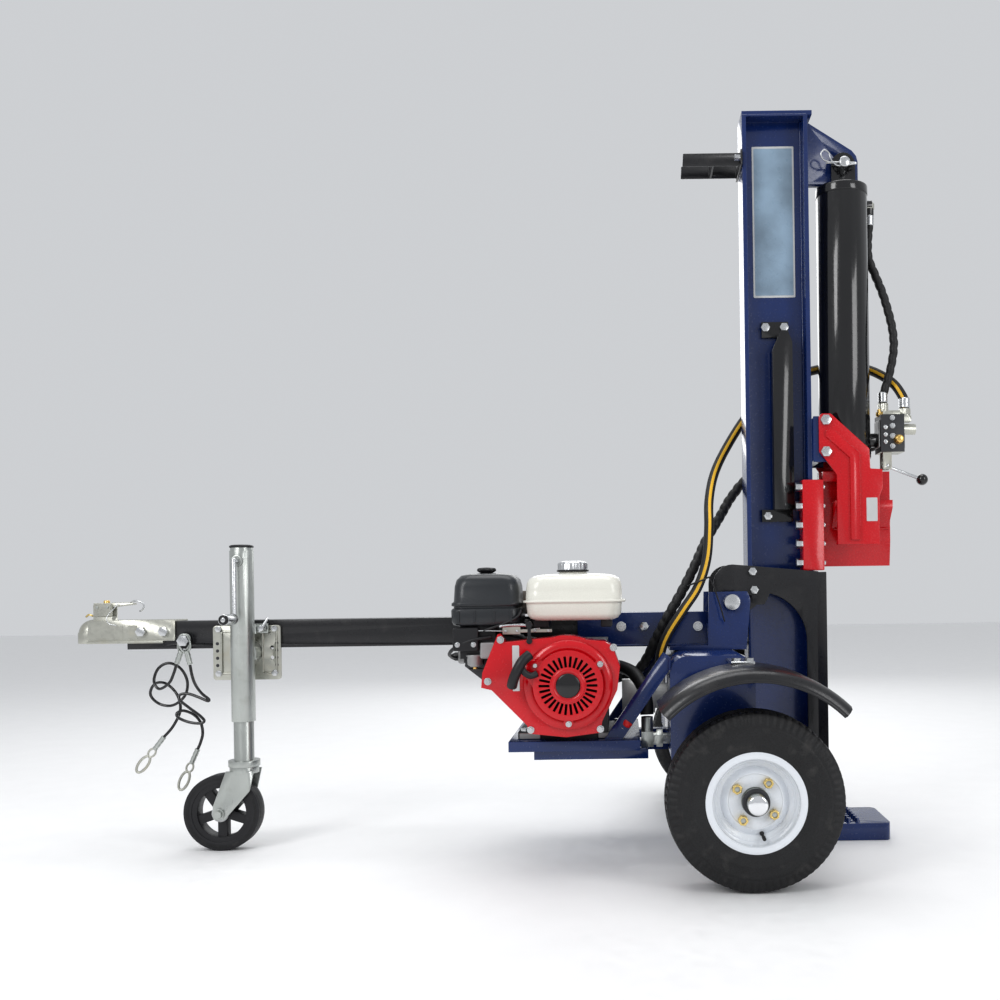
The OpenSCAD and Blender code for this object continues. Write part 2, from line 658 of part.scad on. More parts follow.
module cylinder_barrel() color("#1a1b1d") at_axle() {
  difference() {
    translate([cyl_x, 0, barrel_low]) cylinder(d = barrel_d, h = barrel_top - barrel_low, $fn = 96);
    translate([cyl_x, 0, barrel_low + 56]) cylinder(r = 60, h = barrel_top - barrel_low - 76, $fn = 96);
    translate([cyl_x, 0, barrel_low - 1]) cylinder(r = rod_d / 2 + fit, h = 60);
  }
  difference() {
    both_sides() plate_y(14, 30) polygon(concat(
      [[cyl_x - 33, barrel_top - 1], [cyl_x + 33, barrel_top - 1]], arc(cyl_x, cyl_pin_z, 33, 0, 180)
    ));
    bar_y(cyl_x, cyl_pin_z, 13, -60, 60);
  }
  bar_x(38, 1762, 15, cyl_x + 57, 424);
  translate([418, 38, 1735]) cylinder(r = 13, h = 32);
  bar_x(0, 1092, 20, cyl_x + 62, 424);
}

module control_valve() color("#212224") at_axle() {
  block([425, -34, 1056], [490, 34, 1160]);
  block([434, -24, 1159], [482, 24, 1172]);
  bar_y(452, 1092, 17, 33, 37.6);
  bar_x(0, 1122, 15, 489, 528);
  translate([500, 0, 1158]) cylinder(r = 15, h = 21.6);
  block([488, -14, 1142], [515, 14, 1159]);
  translate([440, 0, 1171]) cylinder(r = 14, h = 24);
  difference() {
    both_sides() block([434, 14, 1010], [458, 19, 1057]);
    bar_y(lever_x, lever_z, 4 + fit, -30, 30);
  }
  translate([lever_x, 0, 1034]) cylinder(r = 7, h = 24);
}

module valve_lever() color("#c8c9c8") at_axle() {
  bar_y(lever_x, lever_z, 4, -18, 18);
  bar_y(lever_x, lever_z, 9, -12, 12);
  translate([lever_x, 0, lever_z]) rotate([0, 90 + lever_lean, 0]) cylinder(r = 5, h = lever_arm);
  translate([lever_x + lever_arm * cos(lever_lean), 0, lever_z - lever_arm * sin(lever_lean)])
    sphere(r = knob_r);
}

module wedge() color("#c2121b") at_axle() {
  translate([256.4, 0, 0]) rotate([90, 0, 90]) linear_extrude(196)
    polygon([[-12.5, 1004], [12.5, 1004], [12.5, 812], [1, wedge_z], [-1, wedge_z], [-12.5, 812]]);
  both_sides() translate([290, 0, 0]) rotate([90, 0, 90]) linear_extrude(158)
    polygon([[11, 846], [11, 921], [60, 921], [60, 900]]);
  block([262, -38, 976], [398, 38, 1003.5]);
  translate([cyl_x, 0, 1003]) cylinder(r = 34, h = 20);
}

module wedge_slide() color("#c8151e") at_axle() {
  block([beam_front + 2, -76, 731], [256, 76, 978]);
  both_sides() {
    block([199, beam_w / 2 + 1, 731], [beam_front + 2.5, 76, 978]);
    block([199, 22, 731], [beam_front - flange_t - 2, 76, 978]);
  }
}

module slide_bolts() color("#dddddd") at_axle() {
  for (z = [752, 804, 855, 907, 959]) both_sides() {
    translate([198.8, 64, z]) rotate([0, -90, 0]) cylinder(d = 26, h = 18, $fn = 6);
    translate([256.2, 64, z]) rotate([0, 90, 0]) cylinder(r = 6, h = 5);
  }
}

module piston_rod() color("#e2e4e6") at_axle() {
  translate([cyl_x, 0, 1023.4]) cylinder(d = rod_d, h = 740);
  translate([cyl_x, 0, 1718]) cylinder(r = 59.9, h = 50, $fn = 96);
}

// ---- hoses ----

module suction_hose() color("#141414") at_axle() swept(suction_hose_route, suction_hose_r, 1, 10);
module pressure_hose() color("#141414") at_axle() swept(pressure_hose_route, hose_r, 1, 10);
module return_hose() color("#161616") at_axle() swept(return_hose_route, hose_r, 1, 10);
module work_hose() color("#141414") at_axle() swept(work_hose_route, work_hose_r, 1, 10);

tongue();
main_frame();
reservoir();
axle();
engine_platform();
engine_block();
blower_housing();
recoil_starter();
fuel_tank();
fuel_cap();
air_cleaner();
carburettor();
muffler();
throttle_lever();
pump_mount();
hydraulic_pump();
oil_filter();
suction_fitting();
pivot_pin();
fenders();
frame_bolts();
coupler_body();
coupler_latch();
jack_mount();
jack_tube();
jack_ram();
jack_crank();
jack_pull_pin();
caster_fork();
jack_wheel();
safety_cable_front();
safety_cable_rear();
cable_hook_front();
cable_hook_rear();
tyre_near();
rim_near();
hub_near();
lug_nuts_near();
tyre_far();
rim_far();
hub_far();
lug_nuts_far();
beam();
foot_plate();
log_cradles();
transport_saddle();
beam_handle();
strippers();
beam_bolts();
cylinder_barrel();
control_valve();
valve_lever();
wedge();
wedge_slide();
slide_bolts();
piston_rod();
suction_hose();
pressure_hose();
return_hose();
work_hose();
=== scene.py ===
"""The log splitter's looks: materials, trim, tyres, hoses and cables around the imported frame."""
import json
import math

import bmesh
import bpy
from mathutils import Matrix, Vector


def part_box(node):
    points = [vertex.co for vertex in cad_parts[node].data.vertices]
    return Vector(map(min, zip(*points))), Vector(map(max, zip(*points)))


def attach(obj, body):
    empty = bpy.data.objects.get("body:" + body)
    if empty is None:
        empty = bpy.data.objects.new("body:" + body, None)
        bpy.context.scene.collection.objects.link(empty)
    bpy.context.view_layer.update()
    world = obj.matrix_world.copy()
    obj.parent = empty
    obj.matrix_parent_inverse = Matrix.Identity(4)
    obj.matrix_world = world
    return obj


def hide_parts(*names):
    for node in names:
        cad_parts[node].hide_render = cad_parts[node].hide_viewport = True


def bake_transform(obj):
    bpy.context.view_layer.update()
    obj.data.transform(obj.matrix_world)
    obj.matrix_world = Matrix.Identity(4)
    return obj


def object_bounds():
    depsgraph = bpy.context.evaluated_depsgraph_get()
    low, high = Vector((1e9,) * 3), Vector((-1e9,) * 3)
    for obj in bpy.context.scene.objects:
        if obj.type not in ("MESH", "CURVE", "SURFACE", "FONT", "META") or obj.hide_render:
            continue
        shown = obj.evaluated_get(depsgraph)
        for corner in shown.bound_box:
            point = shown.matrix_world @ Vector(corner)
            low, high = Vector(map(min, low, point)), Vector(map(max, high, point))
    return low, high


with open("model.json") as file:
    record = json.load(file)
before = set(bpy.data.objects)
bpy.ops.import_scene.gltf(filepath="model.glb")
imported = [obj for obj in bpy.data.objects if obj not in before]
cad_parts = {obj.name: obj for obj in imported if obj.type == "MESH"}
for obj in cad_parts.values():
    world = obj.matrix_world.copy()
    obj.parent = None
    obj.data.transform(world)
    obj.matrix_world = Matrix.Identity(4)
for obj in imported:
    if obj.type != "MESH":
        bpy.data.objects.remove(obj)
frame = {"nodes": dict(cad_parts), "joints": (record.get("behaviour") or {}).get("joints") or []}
CAD_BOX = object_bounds()
NODES = frame["nodes"]
JOINTS = {j["name"]: j for j in frame["joints"]}
AXLE_X = JOINTS["wheel_near_spin"]["pos_m"][0]

# Distances in millimetres from the axle, on the ground and the centre plane.
WHEEL_Y = 520
WHEEL_Z = 205
TANK_X, TANK_Y = -421, -250
CLEANER_X, CLEANER_Y = -640, -257
RECOIL_X, RECOIL_Z = -427, 460
CYLINDER_X = 332
CYLINDER_LOW_Z = 1040
JACK_X, JACK_Y = -1324, -95
SIDES = (("near", -1), ("far", 1))


def at(x, y, z):
    """A point in millimetres from the axle, on the ground and the centre plane."""
    return Vector((AXLE_X + x / 1000, y / 1000, z / 1000))


# ---- camera ----

camera = bpy.data.objects.new("camera", bpy.data.cameras.new("camera"))
bpy.context.collection.objects.link(camera)
camera.location = (0.338, -2.867, 0.698)
camera.rotation_euler = (
    Matrix.Rotation(math.radians(90), 4, "X") @ Matrix.Rotation(math.radians(-0.8), 4, "Z")
).to_euler()
camera.data.lens = 36.9
camera.data.sensor_width = 36
camera.data.shift_x = -0.125
camera.data.shift_y = 0.085
bpy.context.scene.camera = camera


# ---- materials ----

def noise(tree, coords, scale, detail=3.0, stretch=(1, 1, 1)):
    """A noise texture over the piece, with an optional stretch along an axis."""
    mapping = tree.nodes.new("ShaderNodeMapping")
    mapping.inputs["Scale"].default_value = stretch
    texture = tree.nodes.new("ShaderNodeTexNoise")
    texture.inputs["Scale"].default_value = scale
    texture.inputs["Detail"].default_value = detail
    tree.links.new(coords.outputs["Object"], mapping.inputs["Vector"])
    tree.links.new(mapping.outputs["Vector"], texture.inputs["Vector"])
    return texture.outputs["Fac"]


def spread(tree, value, low, high, start=0.3, end=0.7):
    """Maps a noise value onto a range."""
    node = tree.nodes.new("ShaderNodeMapRange")
    node.inputs["From Min"].default_value = start
    node.inputs["From Max"].default_value = end
    node.inputs["To Min"].default_value = low
    node.inputs["To Max"].default_value = high
    tree.links.new(value, node.inputs["Value"])
    return node.outputs["Result"]


def blend_colour(tree, factor, first, second):
    """Mixes two colours, or a socket and a colour, by a factor."""
    node = tree.nodes.new("ShaderNodeMix")
    node.data_type = "RGBA"
    tree.links.new(factor, node.inputs["Factor"])
    for socket, colour in (("A", first), ("B", second)):
        target = [s for s in node.inputs if s.name == socket and s.type == "RGBA"][0]
        if isinstance(colour, bpy.types.NodeSocket):
            tree.links.new(colour, target)
        else:
            target.default_value = (*colour, 1)
    return [s for s in node.outputs if s.type == "RGBA"][0]


def material(name, colour, rough, metal=0.0, vary=0.12, grain=300.0, bump=0.08, depth=0.0004,
             coat=0.0, dirt=None, dirt_amount=0.25, stretch=(1, 1, 1)):
    """A procedural finish: cloudy colour, grain in the roughness and the bump, and dirt or wear."""
    made = bpy.data.materials.new(name)
    made.use_nodes = True
    tree = made.node_tree
    shader = tree.nodes["Principled BSDF"]
    coords = tree.nodes.new("ShaderNodeTexCoord")
    cloud = noise(tree, coords, 9.0, 5.0)
    fine = noise(tree, coords, grain, 2.0, stretch)
    darker = [c * (1 - vary) for c in colour]
    lighter = [min(c * (1 + vary), 1) for c in colour]
    tone = blend_colour(tree, spread(tree, cloud, 0, 1), darker, lighter)
    if dirt:
        patch = spread(tree, noise(tree, coords, 26.0, 8.0), 0, dirt_amount, 0.56, 0.74)
        tone = blend_colour(tree, patch, tone, dirt)
    tree.links.new(tone, shader.inputs["Base Color"])
    shader.inputs["Metallic"].default_value = metal
    shader.inputs["Coat Weight"].default_value = coat
    shader.inputs["Coat Roughness"].default_value = 0.06
    tree.links.new(spread(tree, fine, rough * 0.8, min(rough * 1.3, 1)), shader.inputs["Roughness"])
    relief = tree.nodes.new("ShaderNodeBump")
    relief.inputs["Strength"].default_value = bump
    relief.inputs["Distance"].default_value = depth
    tree.links.new(fine, relief.inputs["Height"])
    tree.links.new(relief.outputs["Normal"], shader.inputs["Normal"])
    return made


DUST = (0.16, 0.15, 0.14)
NAVY = material("navy_enamel", (0.006, 0.024, 0.115), 0.22, coat=0.35, grain=140, bump=0.08,
                depth=0.0006, dirt=(0.014, 0.034, 0.13), dirt_amount=0.25)
SATIN_BLACK = material("satin_black", (0.013, 0.013, 0.015), 0.33, coat=0.2, grain=220, dirt=DUST,
                       dirt_amount=0.08)
GLOSS_BLACK = material("gloss_black", (0.007, 0.007, 0.008), 0.16, coat=0.5, grain=120, bump=0.06)
RED = material("red_enamel", (0.54, 0.001, 0.008), 0.24, coat=0.25, grain=160, bump=0.06, vary=0.07)
ENGINE_RED = material("engine_red", (0.56, 0.001, 0.009), 0.22, coat=0.35, grain=110, vary=0.06,
                      bump=0.04)
WHITE_ENAMEL = material("white_enamel", (0.74, 0.77, 0.81), 0.22, coat=0.5, grain=160, vary=0.03,
                        dirt=(0.5, 0.5, 0.48), dirt_amount=0.12)
TANK_WHITE = material("tank_white", (0.74, 0.73, 0.66), 0.27, coat=0.3, grain=420, vary=0.03,
                      bump=0.05)
ZINC = material("zinc_plate", (0.5, 0.5, 0.45), 0.34, metal=0.9, grain=90, vary=0.12, bump=0.1,
                dirt=(0.47, 0.43, 0.32), dirt_amount=0.35)
TUBE_ZINC = material("tube_zinc", (0.47, 0.49, 0.47), 0.33, metal=0.9, grain=240, vary=0.08,
                     stretch=(1, 1, 0.06), dirt=(0.33, 0.34, 0.31), dirt_amount=0.4)
STEEL = material("bright_steel", (0.6, 0.61, 0.62), 0.24, metal=1.0, grain=400, vary=0.05, bump=0.06)
CHROME = material("chrome", (0.85, 0.86, 0.88), 0.07, metal=1.0, grain=700, vary=0.02, bump=0.02)
GOLD = material("yellow_zinc", (0.78, 0.6, 0.25), 0.26, metal=1.0, grain=300, vary=0.15)
BRASS = material("brass", (0.8, 0.55, 0.2), 0.25, metal=1.0, grain=300, vary=0.1)
CAST = material("cast_alloy", (0.36, 0.36, 0.36), 0.48, metal=0.8, grain=900, vary=0.15, bump=0.5,
                dirt=(0.1, 0.1, 0.1), dirt_amount=0.5)
DARK_CAST = material("dark_cast", (0.035, 0.036, 0.04), 0.5, grain=900, vary=0.2, bump=0.5)
HEAT_STEEL = material("heat_steel", (0.2, 0.18, 0.16), 0.45, metal=0.9, grain=400, vary=0.3,
                      dirt=(0.25, 0.15, 0.08), dirt_amount=0.6)
PLASTIC = material("black_plastic", (0.012, 0.012, 0.014), 0.4, grain=1400, vary=0.1, bump=0.35)
GREY_PLASTIC = material("grey_plastic", (0.022, 0.025, 0.029), 0.34, grain=1400, vary=0.1,
                        bump=0.25, coat=0.15)
RUBBER = material("hose_rubber", (0.013, 0.013, 0.014), 0.5, grain=700, vary=0.25, bump=0.3,
                  dirt=DUST, dirt_amount=0.1)
TYRE = material("tyre_rubber", (0.011, 0.011, 0.012), 0.55, grain=420, vary=0.25, bump=0.35,
                dirt=DUST, dirt_amount=0.16)
YELLOW = material("hose_yellow", (0.78, 0.46, 0.03), 0.42, grain=700, vary=0.12, bump=0.2)
LABEL = material("blank_panel", (0.24, 0.33, 0.42), 0.3, coat=0.4, grain=40, vary=0.3, bump=0.04)
PALE = material("pale_panel", (0.55, 0.56, 0.56), 0.35, grain=80, vary=0.08, bump=0.04)
FILTER_WHITE = material("filter_white", (0.74, 0.74, 0.72), 0.28, coat=0.4, grain=200, vary=0.05)
RED_PLASTIC = material("red_plastic", (0.6, 0.02, 0.02), 0.35, grain=800, vary=0.08)

NODE_FINISH = {
    NAVY: ["main_frame", "reservoir", "engine_platform", "beam", "foot_plate"],
    SATIN_BLACK: ["tongue", "axle", "log_cradles", "transport_saddle", "pump_mount"],
    GLOSS_BLACK: ["beam_handle", "cylinder_barrel", "fenders"],
    RED: ["wedge", "wedge_slide", "strippers"],
    ENGINE_RED: ["blower_housing", "recoil_starter"],
    WHITE_ENAMEL: ["rim_near", "rim_far"],
    TYRE: ["tyre_near", "tyre_far"],
    ZINC: ["coupler_body", "coupler_latch", "jack_mount", "cable_hook_front", "cable_hook_rear"],
    TUBE_ZINC: ["jack_tube", "jack_ram", "caster_fork", "hub_near", "hub_far", "suction_fitting"],
    STEEL: ["pivot_pin", "frame_bolts", "beam_bolts", "slide_bolts", "valve_lever", "jack_pull_pin",
            "jack_crank"],
    CHROME: ["piston_rod"],
    GOLD: ["lug_nuts_near", "lug_nuts_far"],
    CAST: ["hydraulic_pump"],
    DARK_CAST: ["engine_block", "control_valve"],
    HEAT_STEEL: ["muffler"],
    TANK_WHITE: ["fuel_tank"],
    GREY_PLASTIC: ["air_cleaner"],
    PLASTIC: ["fuel_cap", "throttle_lever", "jack_wheel", "carburettor"],
    FILTER_WHITE: ["oil_filter"],
    RUBBER: ["pressure_hose", "return_hose", "work_hose", "suction_hose", "safety_cable_front",
             "safety_cable_rear"],
}


def edge(obj, width):
    """Rounds a piece's edges as pressing, casting and paint do, and shades it smooth."""
    weld = obj.modifiers.new("weld", "WELD")
    weld.merge_threshold = 0.00002
    bevel = obj.modifiers.new("edges", "BEVEL")
    bevel.width = width
    bevel.segments = 2
    bevel.limit_method = "ANGLE"
    bevel.angle_limit = math.radians(30)
    bevel.use_clamp_overlap = True
    bevel.harden_normals = True
    for face in obj.data.polygons:
        face.use_smooth = True


EDGE_WIDTH = {
    "beam_handle": 0.006,
    "foot_plate": 0.003, "fenders": 0.0015, "wedge_slide": 0.002, "strippers": 0.0022,
    "engine_block": 0.003, "blower_housing": 0.006, "hydraulic_pump": 0.004, "beam": 0.0016,
    "jack_wheel": 0.003, "cylinder_barrel": 0.002, "muffler": 0.006, "carburettor": 0.003,
    "control_valve": 0.002, "transport_saddle": 0.002, "log_cradles": 0.0015,
}
for finish, names in NODE_FINISH.items():
    for name in names:
        node = NODES[name]
        node.data.materials.clear()
        node.data.materials.append(finish)
        edge(node, EDGE_WIDTH.get(name, 0.001))


# ---- building blocks ----

def finish_piece(name, mesh, look, body, width=0.0):
    """Makes an object of a mesh, in its finish, riding on its body."""
    obj = bpy.data.objects.new(name, mesh)
    bpy.context.collection.objects.link(obj)
    mesh.materials.append(look)
    for face in mesh.polygons:
        face.use_smooth = True
    if width:
        edge(obj, width)
    if body:
        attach(obj, body)
    return obj


def clean(mesh):
    """Merges points on the axis, drops empty faces and turns the normals outwards."""
    bm = bmesh.new()
    bm.from_mesh(mesh)
    bmesh.ops.remove_doubles(bm, verts=bm.verts, dist=0.00002)
    bmesh.ops.recalc_face_normals(bm, faces=bm.faces)
    bm.to_mesh(mesh)
    bm.free()


def shell(name, verts, faces, look, body, width=0.0):
    """One piece from its points and faces."""
    mesh = bpy.data.meshes.new(name)
    mesh.from_pydata(verts, [], faces)
    clean(mesh)
    return finish_piece(name, mesh, look, body, width)


def spun_faces(steps, n, closed=False):
    """The faces of an outline of n points, turned all the way round in so many steps."""
    faces = []
    for k in range(steps):
        start, following = k * n, (k + 1) % steps * n
        for i in range(n - 1):
            faces.append((start + i, following + i, following + i + 1, start + i + 1))
        if closed:
            faces.append((start + n - 1, following + n - 1, following, start))
    return faces


def stacked_faces(rings, n):
    """The faces of a stack of rings of n points each, capped at both ends."""
    faces = [tuple(range(n - 1, -1, -1))]
    for i in range(rings - 1):
        for k in range(n):
            a, b = i * n + k, i * n + (k + 1) % n
            faces.append((a, b, b + n, a + n))
    faces.append(tuple(range((rings - 1) * n, rings * n)))
    return faces


def box_mesh(bm, low, high):
    """Adds a box given by its corners in axle millimetres."""
    a, b = at(*low), at(*high)
    middle = (a + b) / 2
    size = Matrix.Diagonal((*(b - a), 1))
    bmesh.ops.create_cube(bm, size=1, matrix=Matrix.Translation(middle) @ size)


def boxes(name, corners, look, body, width=0.001):
    """One piece of several boxes, each given by its two corners."""
    bm = bmesh.new()
    for low, high in corners:
        box_mesh(bm, low, high)
    mesh = bpy.data.meshes.new(name)
    bm.to_mesh(mesh)
    bm.free()
    return finish_piece(name, mesh, look, body, width)


def lathe(name, outline, centre, axis, look, body, steps=48):
    """Turns an outline of (radius, along) in mm about an axis through centre."""
    turn = Vector((0, 0, 1)).rotation_difference(Vector(axis)).to_matrix()
    verts = []
    for k in range(steps):
        a = 2 * math.pi * k / steps
        for r, z in outline:
            verts.append(centre + turn @ Vector((r * math.cos(a), r * math.sin(a), z)) / 1000)
    return shell(name, verts, spun_faces(steps, len(outline)), look, body)


def flute(obj, x, y, low_z, inner, outer, count, depth):
    """Ripples a turned piece's side: above low_z in mm, between two radii in m from its axis."""
    for vertex in obj.data.vertices:
        out = vertex.co - at(x, y, vertex.co.z * 1000)
        if vertex.co.z > at(0, 0, low_z).z and inner < out.length < outer:
            wave = math.cos(count * math.atan2(out.y, out.x))
            vertex.co += out.normalized() * depth * wave


def smooth_route(points, steps):
    """A smooth curve through the points, the same one that the CAD uses."""
    curve = []
    for i in range(len(points) - 1):
        p, q = points[max(i - 1, 0)], points[i]
        r, s = points[i + 1], points[min(i + 2, len(points) - 1)]
        for k in range(steps):
            t = k / steps
            curve.append(0.5 * (2 * q + (r - p) * t + (2 * p - 5 * q + 4 * r - s) * t * t
                                + (3 * q - p - 3 * r + s) * t * t * t))
    curve.append(points[-1])
    return curve


def resample(points, spacing):
    """The same curve with points at an even spacing."""
    lengths = [0]
    for a, b in zip(points, points[1:]):
        lengths.append(lengths[-1] + (b - a).length)
    count = max(2, round(lengths[-1] / spacing))
    out = []
    i = 0
    for k in range(count + 1):
        d = lengths[-1] * k / count
        while i < len(points) - 2 and lengths[i + 1] < d:
            i += 1
        share = (d - lengths[i]) / max(lengths[i + 1] - lengths[i], 1e-9)
        out.append(points[i].lerp(points[i + 1], min(share, 1)))
    return out, lengths[-1]


def tube(name, points, radius, look, body, ring=12, wave=None, stripe=None):
    """A tube along points. wave(distance, angle) scales its radius; stripe paints a line on it."""
    verts = []
    side = Vector((0, 1, 0.01))
    distance = 0
    for i, p in enumerate(points):
        heading = (points[min(i + 1, len(points) - 1)] - points[max(i - 1, 0)]).normalized()
        side = (side - heading * side.dot(heading)).normalized()
        other = heading.cross(side)
        if i:
            distance += (p - points[i - 1]).length
        for k in range(ring):
            a = 2 * math.pi * k / ring
            r = radius * (wave(distance, a) if wave else 1)
            verts.append(p + (side * math.cos(a) + other * math.sin(a)) * r)
    obj = shell(name, verts, stacked_faces(len(points), ring), look, body)
    if stripe:
        finish, slots = stripe
        obj.data.materials.append(finish)
        for face in obj.data.polygons[1:-1]:
            if (face.index - 1) % ring in slots:
                face.material_index = 1
    return obj


def wire(name, points, radius, look, body, ring=8):
    """A bent rod through a few points."""
    line, _ = resample(smooth_route([at(*p) for p in points], 6), 0.004)
    return tube(name, line, radius, look, body, ring)


def weld_bead(name, ends, body, look=NAVY, radius=0.0036):
    """A lumpy bead along a seam."""
    line, _ = resample([at(*ends[0]), at(*ends[1])], 0.0022)

    def ripple(distance, angle):
        return 0.86 + 0.2 * abs(math.sin(distance * 620 + 0.6 * math.sin(angle)))

    return tube(name, line, radius, look, body, 8, ripple)


def rounded(x0, x1, y0, y1, r, steps):
    """The outline of a rounded rectangle, as pairs, with so many steps to a corner."""
    points = []
    for cx, cy, start in ((x1 - r, y1 - r, 0), (x0 + r, y1 - r, 90), (x0 + r, y0 + r, 180),
                          (x1 - r, y0 + r, 270)):
        for k in range(steps + 1):
            a = math.radians(start + 90 * k / steps)
            points.append((cx + r * math.cos(a), cy + r * math.sin(a)))
    return points


def loft(name, levels, look, body):
    """A closed shell through rounded rectangles (x0, x1, y0, y1, corner, z)."""
    verts = []
    for x0, x1, y0, y1, corner, z in levels:
        verts += [at(x, y, z) for x, y in rounded(x0, x1, y0, y1, corner, 7)]
    faces = stacked_faces(len(levels), len(verts) // len(levels))
    return shell(name, verts, faces, look, body)


def plate(name, sides, corner, y0, y1, look, body):
    """A rounded rectangle (x0, x1, z0, z1) made into a plate between two Y values."""
    outline = rounded(*sides, corner, 5)
    n = len(outline)
    verts = [at(x, y, z) for y in (y0, y1) for x, z in outline]
    faces = [tuple(range(n)), tuple(range(2 * n - 1, n - 1, -1))]
    faces += [(k, k + n, (k + 1) % n + n, (k + 1) % n) for k in range(n)]
    return shell(name, verts, faces, look, body, 0.0004)


def bolt(name, x, y, z, across, head, axis, body, look=STEEL, washer=True):
    """A hexagon head with a chamfered top, on a washer."""
    turn = Vector((0, 0, 1)).rotation_difference(Vector(axis)).to_matrix().to_4x4()
    place = Matrix.Translation(at(x, y, z)) @ turn
    bm = bmesh.new()
    r = across / 2000 / math.cos(math.radians(30))
    up = Matrix.Translation((0, 0, head / 2000 + (0.0015 if washer else 0)))
    bmesh.ops.create_cone(bm, cap_ends=True, segments=6, radius1=r, radius2=r * 0.97,
                          depth=head / 1000, matrix=place @ up)
    if washer:
        bmesh.ops.create_cone(bm, cap_ends=True, segments=28, radius1=r * 1.3, radius2=r * 1.3,
                              depth=0.0016, matrix=place @ Matrix.Translation((0, 0, 0.0008)))
    mesh = bpy.data.meshes.new(name)
    bm.to_mesh(mesh)
    bm.free()
    return finish_piece(name, mesh, look, body, 0.0006)


# ---- tyres ----

def tyre(name, side, node, body):
    """A ribbed trailer tyre with zigzag grooves, sipes and sidewall rings."""
    low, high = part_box(node)
    outer = (high.z - low.z) / 2 * 1000
    centre = Vector((AXLE_X, (low.y + high.y) / 2, (low.z + high.z) / 2))
    half = [(101.9, 40), (102.2, 51), (108, 54.5), (112, 55), (113.5, 53.6), (118, 54), (128, 57),
            (140, 59), (143, 60), (145, 59.2), (156, 59.8), (166, 60), (170, 60), (172, 58.2),
            (174, 58.9), (180, 57.6), (188, 55), (194, 52.4), (198, 50), (201, 47.5)]
    tread, tread_rows, crown_drop = 44, 31, 3.5
    grooves, groove_half, groove_depth, zigzag = (-27, -9, 9, 27), 2.1, 7, 3.2
    sipe_start, sipe_depth, shoulder_r = 29, 5, 176
    rows = half + [(outer, tread * (1 - 2 * k / (tread_rows - 1))) for k in range(tread_rows)]
    rows += [(r, -z) for r, z in reversed(half)]
    steps = 360
    first = len(half)
    verts = []
    for k in range(steps):
        a = 2 * math.pi * k / steps
        for i, (r, z) in enumerate(rows):
            on_tread = first <= i < first + tread_rows
            if on_tread:
                shift = zigzag * (1 - 4 * abs((k / 9) % 1 - 0.5))
                crown = crown_drop * (abs(z) / tread) ** 3
                groove = any(abs(z - shift - g) < groove_half for g in grooves)
                sipe = k % 5 == 0 and abs(z) > sipe_start
                r = outer - crown - (groove_depth if groove else 0) - (sipe_depth if sipe else 0)
            elif r > shoulder_r and k % 5 < 2:
                z *= 0.955
            verts.append(centre + Vector((r * math.cos(a), z * side, r * math.sin(a))) / 1000)
    obj = shell(name, verts, spun_faces(steps, len(rows), closed=True), TYRE, body)
    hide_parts(node)


for end, side in SIDES:
    wheel = "wheel_" + end
    tyre("tread_" + end, side, "tyre_" + end, wheel)
    hub_y = side * WHEEL_Y
    lathe("valve_stem_" + end, [(0, 0), (5, 0), (5, 3), (3.4, 5), (3.2, 14), (4.2, 15), (4.2, 25),
                                (3, 27), (0, 27)],
          at(14, hub_y + side * 22, WHEEL_Z - 74), (0.15, side, -0.4), RUBBER, wheel, 20)
    lathe("hub_cap_" + end, [(0, 3.2), (12, 3), (19, 1.4), (21.5, 0.2), (22.6, -1.5), (22.6, -3)],
          at(0, hub_y + side * 80.2, WHEEL_Z), (0, side, 0), CHROME, wheel, 40)
    for depth, rows in (
            (28, [(60.6, -0.5), (61.4, 1), (63.2, 1.5), (65.2, 1), (66, -0.5)]),
            (25.5, [(87, -0.5), (88, 1.6), (90, 3.4), (92, 4), (93.6, 3)])):
        lathe("rim_bead_" + end, rows, at(0, hub_y + side * depth, WHEEL_Z), (0, side, 0), WHITE_ENAMEL,
              wheel, 96)
    lathe("hub_ring_" + end, [(22.8, 2), (28, 2.6), (31, 1), (31.5, -6)],
          at(0, hub_y + side * 49, WHEEL_Z), (0, side, 0), DARK_CAST, wheel, 48)


# ---- engine: fuel tank and its cap ----

fuel_levels = [
    (-512, -320, -345, -156, 30, 613), (-524, -306, -357, -143, 34, 618),
    (-531, -299, -364, -136, 36, 628), (-533, -297, -366, -134, 36, 652),
    (-534, -296, -367, -133, 36, 656.5), (-540, -288, -371, -129, 38, 657.5),
    (-541, -287, -372, -128, 38, 660), (-540, -288, -371, -129, 38, 662.5),
    (-534, -296, -367, -133, 36, 663.5), (-533, -296, -366, -134, 36, 690),
    (-531, -298, -364, -136, 37, 706), (-526, -303, -359, -141, 40, 716),
    (-515, -314, -348, -152, 42, 723), (-495, -334, -328, -172, 40, 727),
    (-470, -360, -300, -200, 40, 728.5),
]
tank = loft("tank_shell", fuel_levels, TANK_WHITE, "chassis")
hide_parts("fuel_tank")
lathe("tank_neck", [(36, 0), (36, 4), (33, 6), (0, 6)], at(TANK_X, TANK_Y, 727), (0, 0, 1), TANK_WHITE,
      "chassis", 40)
boxes("tank_feet", [((-520, -300, 594), (-480, -200, 616)), ((-350, -300, 594), (-322, -200, 616))],
      DARK_CAST, "chassis", 0.003)

